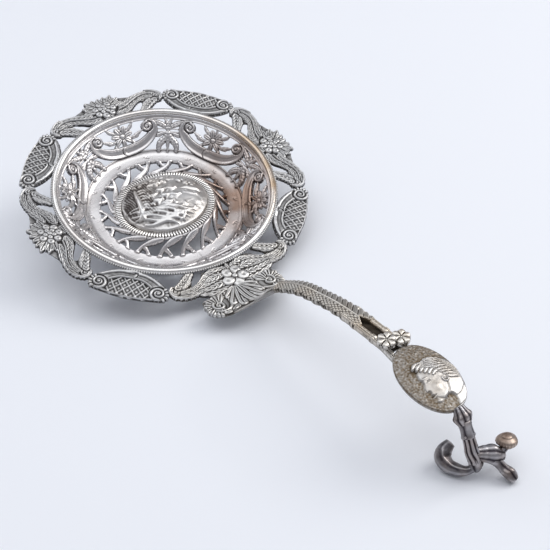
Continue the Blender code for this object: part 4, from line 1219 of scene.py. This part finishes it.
# ---------------------------------------------------- the cameo medallion
AX, BY = 10.9, 7.4
md = Relief(-11.3, 11.3, -7.8, 7.8, 0.10)
q = np.hypot(md.U / AX, md.V / BY)
rr = np.hypot(md.U, md.V) + 1e-6
md.S = (1 - q) * rr / np.maximum(q, 1e-3)
md.S = np.where(q < 0.2, 5.0, md.S)
grain = blur(RNG.standard_normal(md.U.shape), 1.6)
grain = grain / grain.std()
grain2 = blur(RNG.standard_normal(md.U.shape), 1.0)
grain2 = grain2 / grain2.std()
md.H = np.where(md.S > 0, 0.10 + 0.030 * grain2 + 0.35 * np.clip(1 - q, 0, 1) ** 0.5, 0)
GROUND = md.H.copy()


def lay(sdf, height, soft=0.35):
    """A rounded form laid on the field: it rises from the ground within 'soft' of its edge."""
    t = np.clip(sdf / soft, 0, 1)
    t = t * t * (3 - 2 * t)
    md.H = np.where(sdf > 0, np.maximum(md.H * (1 - t) + height * t, md.H * (1 - t)), md.H)


def ell(cx, cy, rx, ry, deg=0):
    c, s = math.cos(math.radians(deg)), math.sin(math.radians(deg))
    x, y = (md.U - cx) * c + (md.V - cy) * s, -(md.U - cx) * s + (md.V - cy) * c
    k = np.hypot(x / rx, y / ry)
    return (1 - k) * min(rx, ry), np.sqrt(np.clip(1 - k * k, 0, 1))


# Head in profile: crown towards +X, face towards +Y.  All proportions are the drawing-book ones:
# eye half way down the head, nose a third of the face, ear behind the middle line.
HX, HY = -1.5, -1.7


KH = 1.30


def hp(up, fwd):
    """Head units to medallion mm: up from the eye line, forward from the ear."""
    return HX + KH * up, HY + KH * fwd


def hair(x, y):
    return HX + KH * (x - 3.2), HY + KH * (y - 0.1)


FACE = [hp(4.6, 0.4), hp(3.9, 2.6), hp(2.7, 3.75), hp(1.3, 4.15), hp(0.55, 3.95), hp(-0.2, 4.35), hp(-1.15, 5.10), hp(-1.62, 4.95),
        hp(-1.80, 4.20), hp(-2.20, 4.30), hp(-2.45, 4.55), hp(-2.80, 4.15), hp(-3.10, 4.40), hp(-3.45, 3.95), hp(-4.05, 4.15),
        hp(-4.75, 3.55), hp(-4.75, 2.30), hp(-4.30, 0.9), hp(-5.3, 0.6), hp(-7.6, 1.3), hp(-8.4, 0.2), hp(-8.2, -2.2), hp(-6.6, -3.4),
        hp(-4.2, -3.3), hp(-2.0, -4.1), hp(0.6, -4.6), hp(3.0, -3.7), hp(4.5, -1.8)]
face = md.poly(FACE, 8)
_, cap = ell(HX - 0.2, HY + 0.1, 6.2, 5.6)
lay(face, 0.50 + 0.55 * cap, 0.95)
# brow, socket, eye, cheek, nostril, lips, jaw
md.dome(*hp(0.95, 3.05), 0.42, 1.25, 0.0, 0.14, 'soft', mask=False, mode='add')
md.dome(*hp(0.10, 2.75), 0.62, 1.05, 0.0, 0.26, 'soft', mask=False, mode='cut')
md.dome(*hp(0.02, 2.85), 0.36, 0.72, 0.0, 0.20, 'dome', mask=False, mode='add')
md.stroke([hp(0.34, 2.2), hp(0.42, 2.9), hp(0.18, 3.55)], 0.10, 0.10, 'dome', mask=False, mode='add')
md.dome(*hp(-1.6, 2.0), 1.5, 1.4, 0.0, 0.16, 'soft', mask=False, mode='add')
md.dome(*hp(-1.45, 4.15), 0.34, 0.42, 0.0, 0.14, 'soft', mask=False, mode='add')
md.stroke([hp(-1.66, 3.75), hp(-1.50, 4.0)], 0.10, 0.16, 'soft', mask=False, mode='cut')
md.stroke([hp(-2.78, 3.15), hp(-2.80, 3.7), hp(-2.78, 4.2)], 0.13, 0.20, 'soft', mask=False, mode='cut')
md.dome(*hp(-2.40, 3.75), 0.28, 0.62, 0.0, 0.12, 'soft', mask=False, mode='add')
md.dome(*hp(-3.12, 3.70), 0.28, 0.55, 0.0, 0.12, 'soft', mask=False, mode='add')
md.dome(*hp(-4.2, 3.4), 0.7, 0.8, 0.0, 0.12, 'soft', mask=False, mode='add')
md.stroke([hp(-1.6, -0.3), hp(-3.2, 0.4), hp(-4.3, 1.6)], 0.35, 0.14, 'soft', mask=False, mode='cut')
# a plain cloth edge at the neck
for k, off in enumerate((0.0, 0.75)):
    md.stroke(spline([hp(-7.2 - off, 2.0), hp(-6.9 - off, -0.2), hp(-6.0 - off, -2.6), hp(-4.9 - off, -4.4)], 8), 0.40, 0.30, 'dome',
              mask=False, base=0.62 - 0.15 * k, mode='max')
# hair: a ridged roll over the brow and temple, and long locks swept back and down
for k in range(6):
    t = k / 5
    cx, cy = 6.25 - 3.0 * t, 2.6 - 2.4 * t
    pts = spline([hair(cx + 0.7, cy + 0.95), hair(cx + 1.15, cy + 0.05), hair(cx + 0.7, cy - 1.15), hair(cx - 0.5, cy - 1.75)], 8)
    md.stroke(pts, [0.36, 0.66, 0.70, 0.42], 0.50, 'dome', mask=False, base=0.80, mode='over')
for k in range(8):
    t = k / 7
    x0, y0 = 7.4 - 5.0 * t, 0.9 - 2.0 * t
    pts = spline([hair(x0, y0), hair(x0 - 0.2 - 0.8 * t, y0 - 1.7), hair(x0 - 1.8 - 0.6 * t, y0 - 3.3 + 0.6 * t), hair(x0 - 3.9, y0 - 4.3 + 1.5 * t),
                  hair(x0 - 5.4 + 0.8 * t, y0 - 4.2 + 1.3 * t)], 8)
    keep = [p for p in pts if (p[0] / (AX - 0.9)) ** 2 + (p[1] / (BY - 0.9)) ** 2 < 1]
    if len(keep) > 3:
        md.stroke(np.array(keep), [0.46, 0.68, 0.66, 0.50, 0.22], 0.46, 'dome', mask=False, base=0.62, mode='over')
        md.stroke(np.array(keep) + [0.14, 0.05], [0.05, 0.08, 0.05], 0.10, 'soft', mask=False, mode='cut')
for k in range(5):
    t = k / 4
    pts = spline([hair(7.7 - 1.2 * t, 0.4 + 1.6 * t), hair(6.9 - 1.0 * t, -0.4 + 1.5 * t), hair(6.6 - 1.4 * t, -2.0 + 1.3 * t)], 6)
    md.stroke(pts, [0.20, 0.38, 0.24], 0.42, 'dome', mask=False, base=0.78, mode='over')
# a small curl by the ear
md.scroll(*hair(2.0, -0.3), 0.95, 1.1, 40, 0.24, 0.40, mask=False, base=0.95, prof='dome')
md.H = np.where(md.S > 0, md.H + 0.008 * grain, 0)
on_head = blur(((md.H - GROUND) > 0.12).astype(float), 1.5)
md.H, md.S, on_head = md.H[::-1, ::-1].copy(), md.S[::-1, ::-1].copy(), on_head[::-1, ::-1].copy()
md.H = md.H * np.clip(md.S / 0.25, 0.35, 1)
MT = (116.0, 0.0, 39.2 - 0.55)
md.build("portrait_cameo", disc_surf(MT, -2.0, 0.75, AX, BY), 1.05, M_HANDLE, MAT_CAMEO, "handle_silver", "portrait_medallion",
         wear=np.clip(md.wear(0.28, 0.9, 0.0) - 0.16 + 0.26 * on_head + 0.05 * grain2 * (1 - on_head), 0, 1))


# ------------------------------------------------------------ lofted pieces
def loft(name, pts, radii, node, mat=None, nsec=56, per=14, shape=None, flat=1.0, cap=0.5, rz=None, up=(0, 0, 1)):
    """A closed turned or fluted form along a path; shape(t, k) scales the radius, t along and k round."""
    c = spline(pts, per)
    n = len(c)
    s = np.linspace(0, len(pts) - 1, n)
    r = spline([(i, v) for i, v in enumerate(radii)], per)[:, 1]
    r = np.interp(s, np.linspace(0, len(pts) - 1, len(r)), r)
    T = np.gradient(c, axis=0)
    T /= np.linalg.norm(T, axis=1)[:, None]
    up = np.array(up, float)
    A = np.cross(np.broadcast_to(up, T.shape), T)
    bad = np.linalg.norm(A, axis=1) < 0.15
    A[bad] = np.cross(np.broadcast_to(np.array([0, 1.0, 0]), T.shape), T)[bad]
    A /= np.linalg.norm(A, axis=1)[:, None]
    B = np.cross(T, A)
    k = np.linspace(0, TAU, nsec, endpoint=False)
    # domed ends
    m = 7
    e = np.linspace(0, math.pi / 2, m)[:-1]
    r0, r1 = r[0], r[-1]
    start = [(c[0] - T[0] * cap * r0 * math.cos(a), r0 * math.sin(a), 0) for a in e[1:]]
    stop = [(c[-1] + T[-1] * cap * r1 * math.cos(a), r1 * math.sin(a), n - 1) for a in e[1:][::-1]]
    C = [x[0] for x in start] + list(c) + [x[0] for x in stop]
    Rr = [x[1] for x in start] + list(r) + [x[1] for x in stop]
    ids = [0] * len(start) + list(range(n)) + [n - 1] * len(stop)
    C, Rr, ids = np.array(C), np.array(Rr), np.array(ids)
    t = np.linspace(0, 1, len(C))
    F = np.ones((len(C), nsec)) if shape is None else shape(t[:, None], k[None, :])
    rad = Rr[:, None] * F
    P = C[:, None, :] + rad[:, :, None] * (np.cos(k)[None, :, None] * A[ids][:, None, :] + flat * np.sin(k)[None, :, None] * B[ids][:, None, :])
    N = len(C)
    V = np.concatenate([P.reshape(-1, 3), [c[0] - T[0] * cap * r0], [c[-1] + T[-1] * cap * r1]])
    a = np.arange(N - 1)[:, None] * nsec + np.arange(nsec)[None, :]
    b = np.arange(N - 1)[:, None] * nsec + (np.arange(nsec)[None, :] + 1) % nsec
    quads = np.stack([a, b, b + nsec, a + nsec], 2).reshape(-1, 4)
    i = np.arange(nsec)
    fan0 = np.stack([np.full(nsec, N * nsec), (i + 1) % nsec, i], 1)
    fan1 = np.stack([np.full(nsec, N * nsec + 1), (N - 1) * nsec + i, (N - 1) * nsec + (i + 1) % nsec], 1)
    sm = (np.roll(F, 3, 1) + np.roll(F, -3, 1) + np.roll(F, 5, 1) + np.roll(F, -5, 1)) / 4
    sm = 0.5 * sm + 0.5 * blur(F, 3)
    w = np.clip(0.52 + 4.5 * (F - sm), 0, 1).reshape(-1)
    w = np.concatenate([w, [0.6, 0.6]])
    return make_mesh(name, to_world(V, M_HANDLE), [quads, fan0, fan1], w, mat or MAT_FINIAL, node)


def flute(n, depth, p=0.7, off=0.0, ring=None):
    def f(t, k):
        base = 1 - depth * (1 - np.abs(np.sin(n * (k + off) / 2)) ** p)
        if ring:
            for at, w, d in ring:
                base = base + d * np.exp(-((t - at) / w) ** 2)
        return base * np.ones_like(t)
    return f


loft("collar_spiked", [(126.6, 0, 38.3), (127.7, 0, 37.6), (128.6, 0, 36.8), (129.6, 0, 35.8)], [1.6, 2.1, 2.7, 2.1], "collar", nsec=72, per=16,
     shape=flute(9, 0.16, 0.6, 0.2, ring=((0.5, 0.16, 0.05),)), flat=0.72, cap=0.3)
loft("waist_faceted", [(129.2, 0, 36.1), (130.4, 0, 34.6), (131.9, 0, 32.7)], [1.95, 1.65, 1.8], "waist", nsec=64, per=12,
     shape=flute(4, 0.12, 1.0, 0.6, ring=((0.15, 0.06, 0.06), (0.85, 0.06, 0.06))), cap=0.25)
loft("finial_stem_fluted", [(131.4, 0, 33.2), (133.1, 0, 30.9), (134.6, 0, 28.8), (136.0, 0.3, 26.9)], [1.6, 1.7, 1.95, 1.9], "finial_stem",
     nsec=96, per=14, shape=flute(8, 0.24, 0.75, 0.1, ring=((0.12, 0.04, 0.10), (0.90, 0.05, 0.08))), cap=0.3)


def leafy(n, depth, veins=3):
    def f(t, k):
        g = np.abs(np.sin(veins * k / 2 + 0.5))
        return 1 - depth * (1 - g ** 0.8) * np.ones_like(t) + 0.05 * np.sin(n * math.pi * t + 2 * k)
    return f


loft("finial_drop_pointed", [(135.2, .2, 27.9), (135.9, .35, 26.7), (136.6, .5, 25.3), (137.0, .6, 23.9), (137.3, .6, 22.9)], [1.7, 1.9, 1.75, 1.15, 0.45],
     "finial_drop", nsec=64, per=12, shape=leafy(4, 0.16, 4), cap=0.5)


def hook_shape(t, k):
    rib = 0.10 * np.exp(-((np.cos(k) - 0.2) / 0.16) ** 2) * np.sin(math.pi * np.clip(t, 0, 1)) ** 0.5
    hollow = -0.22 * np.exp(-((np.sin(k) - 1.0) / 0.5) ** 2) * np.sin(math.pi * t) ** 0.7
    cuts = 0.035 * np.sin(26 * t + 1.5 * np.cos(k))
    return 1 + rib + hollow + cuts


loft("finial_hook_scroll", [(136.7, -0.2, 24.4), (135.8, -1.6, 23.4), (134.0, -2.9, 22.6), (131.9, -3.7, 22.3), (129.9, -3.7, 22.5), (128.5, -2.3, 23.4),
                            (128.3, -0.5, 24.8)], [0.9, 1.25, 1.65, 1.95, 2.15, 2.0, 1.35], "finial_hook", nsec=64, per=16, shape=hook_shape, cap=0.20)
loft("finial_body_vase", [(135.1, 0.6, 28.2), (136.0, 2.4, 27.9), (137.0, 4.2, 27.6), (138.0, 5.6, 27.4), (138.6, 6.9, 27.3)], [1.7, 2.0, 2.5, 2.3, 1.4],
     "finial_body", nsec=72, per=12, shape=flute(6, 0.13, 0.8, 0.3, ring=((0.30, 0.05, 0.06), (0.55, 0.08, 0.04), (0.93, 0.04, 0.08))), cap=0.3)
loft("finial_neck", [(137.6, 5.2, 27.6), (137.9, 6.9, 28.0), (137.6, 8.4, 28.6), (137.2, 8.9, 29.2)], [1.4, 1.15, 1.15, 1.5],
     None, nsec=48, per=10, shape=flute(5, 0.12, 0.8, 0.1), cap=0.3)
loft("finial_branch", [(137.4, 3.8, 27.4), (139.0, 4.5, 26.7), (140.4, 4.9, 26.2), (141.6, 5.2, 25.8)], [1.7, 1.5, 1.3, 1.35],
     None, nsec=48, per=10, shape=leafy(3, 0.14, 3), cap=0.3)


def button_shape(t, k):
    """A domed disc with a milled edge and a small bead set on top."""
    edge = 0.05 * np.abs(np.sin(11 * k / 1.0)) * np.exp(-((t - 0.42) / 0.16) ** 2)
    return 1 + edge + 0.05 * np.cos(3 * k + 1) * (t > 0.2)


loft("finial_button_disc", [(137.4, 8.95, 28.5), (137.1, 9.04, 29.3), (136.75, 9.14, 30.1), (136.5, 9.22, 30.7)], [2.0, 2.6, 2.45, 1.5],
     "finial_button", mat=MAT_BUTTON, nsec=88, per=12, shape=button_shape, cap=0.35)
loft("finial_leaf_lobe", [(141.1, 5.05, 25.85), (142.9, 5.6, 25.4), (144.7, 5.88, 24.9)], [1.35, 1.75, 1.15], "finial_leaf", nsec=64,
     per=14, shape=leafy(3, 0.18, 3), cap=0.4)

# ------------------------------------------------------------ plain studio
def plain(name, rgb, rough):
    m = bpy.data.materials.new(name)
    m.use_nodes = True
    nt, b = nodes_of(m)
    tc = nt.nodes.new("ShaderNodeTexCoord").outputs["Object"]
    n = nt.nodes.new("ShaderNodeTexNoise")
    n.inputs["Scale"].default_value = 3
    nt.links.new(tc, n.inputs["Vector"])
    c = ramp(nt, n.outputs[0], [(0.3, (*[x * 0.99 for x in rgb], 1)), (0.7, (*rgb, 1))])
    nt.links.new(c, b.inputs["Base Color"])
    b.inputs["Roughness"].default_value = rough
    return m


me = bpy.data.meshes.new("studio_floor")
bm = bmesh.new()
bmesh.ops.create_grid(bm, x_segments=4, y_segments=4, size=1.6)
bm.to_mesh(me)
bm.free()
floor = bpy.data.objects.new("studio_floor", me)
floor.location = (0, 0, -0.0002)
me.materials.append(plain("floor_pale", (0.86, 0.885, 0.94), 0.55))
bpy.context.scene.collection.objects.link(floor)

world = bpy.data.worlds.new("studio")
bpy.context.scene.world = world
world.use_nodes = True
nt = world.node_tree
bg = nt.nodes["Background"]
tc = nt.nodes.new("ShaderNodeTexCoord")
sep = nt.nodes.new("ShaderNodeSeparateXYZ")
nt.links.new(tc.outputs["Generated"], sep.inputs[0])
rm = ramp(nt, sep.outputs["Z"], [(0.0, (0.62, 0.64, 0.69, 1)), (0.22, (0.50, 0.51, 0.55, 1)), (0.50, (0.30, 0.30, 0.32, 1)), (0.72, (0.50, 0.50, 0.53, 1)), (1.0, (0.80, 0.82, 0.86, 1))])
nt.links.new(rm, bg.inputs["Color"])
bg.inputs["Strength"].default_value = 0.85


def area(name, loc, target, size, power, rgb=(1, 1, 1)):
    l = bpy.data.lights.new(name, 'AREA')
    l.shape = 'RECTANGLE'
    l.size, l.size_y = size
    l.energy = power
    l.color = rgb
    o = bpy.data.objects.new(name, l)
    o.location = loc
    o.rotation_mode = 'QUATERNION'
    o.rotation_quaternion = (Vector(target) - Vector(loc)).to_track_quat('-Z', 'Y')
    bpy.context.scene.collection.objects.link(o)
    return o


area("key_soft", (0.20, 0.62, 0.62), (0, 0, 0.01), (0.55, 0.55), 3.4, (1.0, 0.985, 0.96))
area("fill_left", (-0.55, -0.15, 0.45), (0, 0, 0.01), (0.5, 0.4), 0.8, (0.93, 0.96, 1.0))
area("top_wide", (0.0, 0.0, 0.9), (0, 0, 0), (0.9, 0.9), 2.2, (0.98, 0.99, 1.0))

# the camera, looking down on the bowl from beyond its near side
cam = bpy.data.cameras.new("view")
cam.sensor_width = 36
cam.lens = 78.545
cam.clip_start, cam.clip_end = 0.02, 20
co = bpy.data.objects.new("view", cam)
co.location = (0.2303, -0.1445, 0.2230)
co.rotation_euler = (0.9069, 0.0793, 0.9356)
bpy.context.scene.collection.objects.link(co)
bpy.context.scene.camera = co
bpy.context.scene.view_settings.view_transform = 'Standard'

bpy.context.view_layer.update()
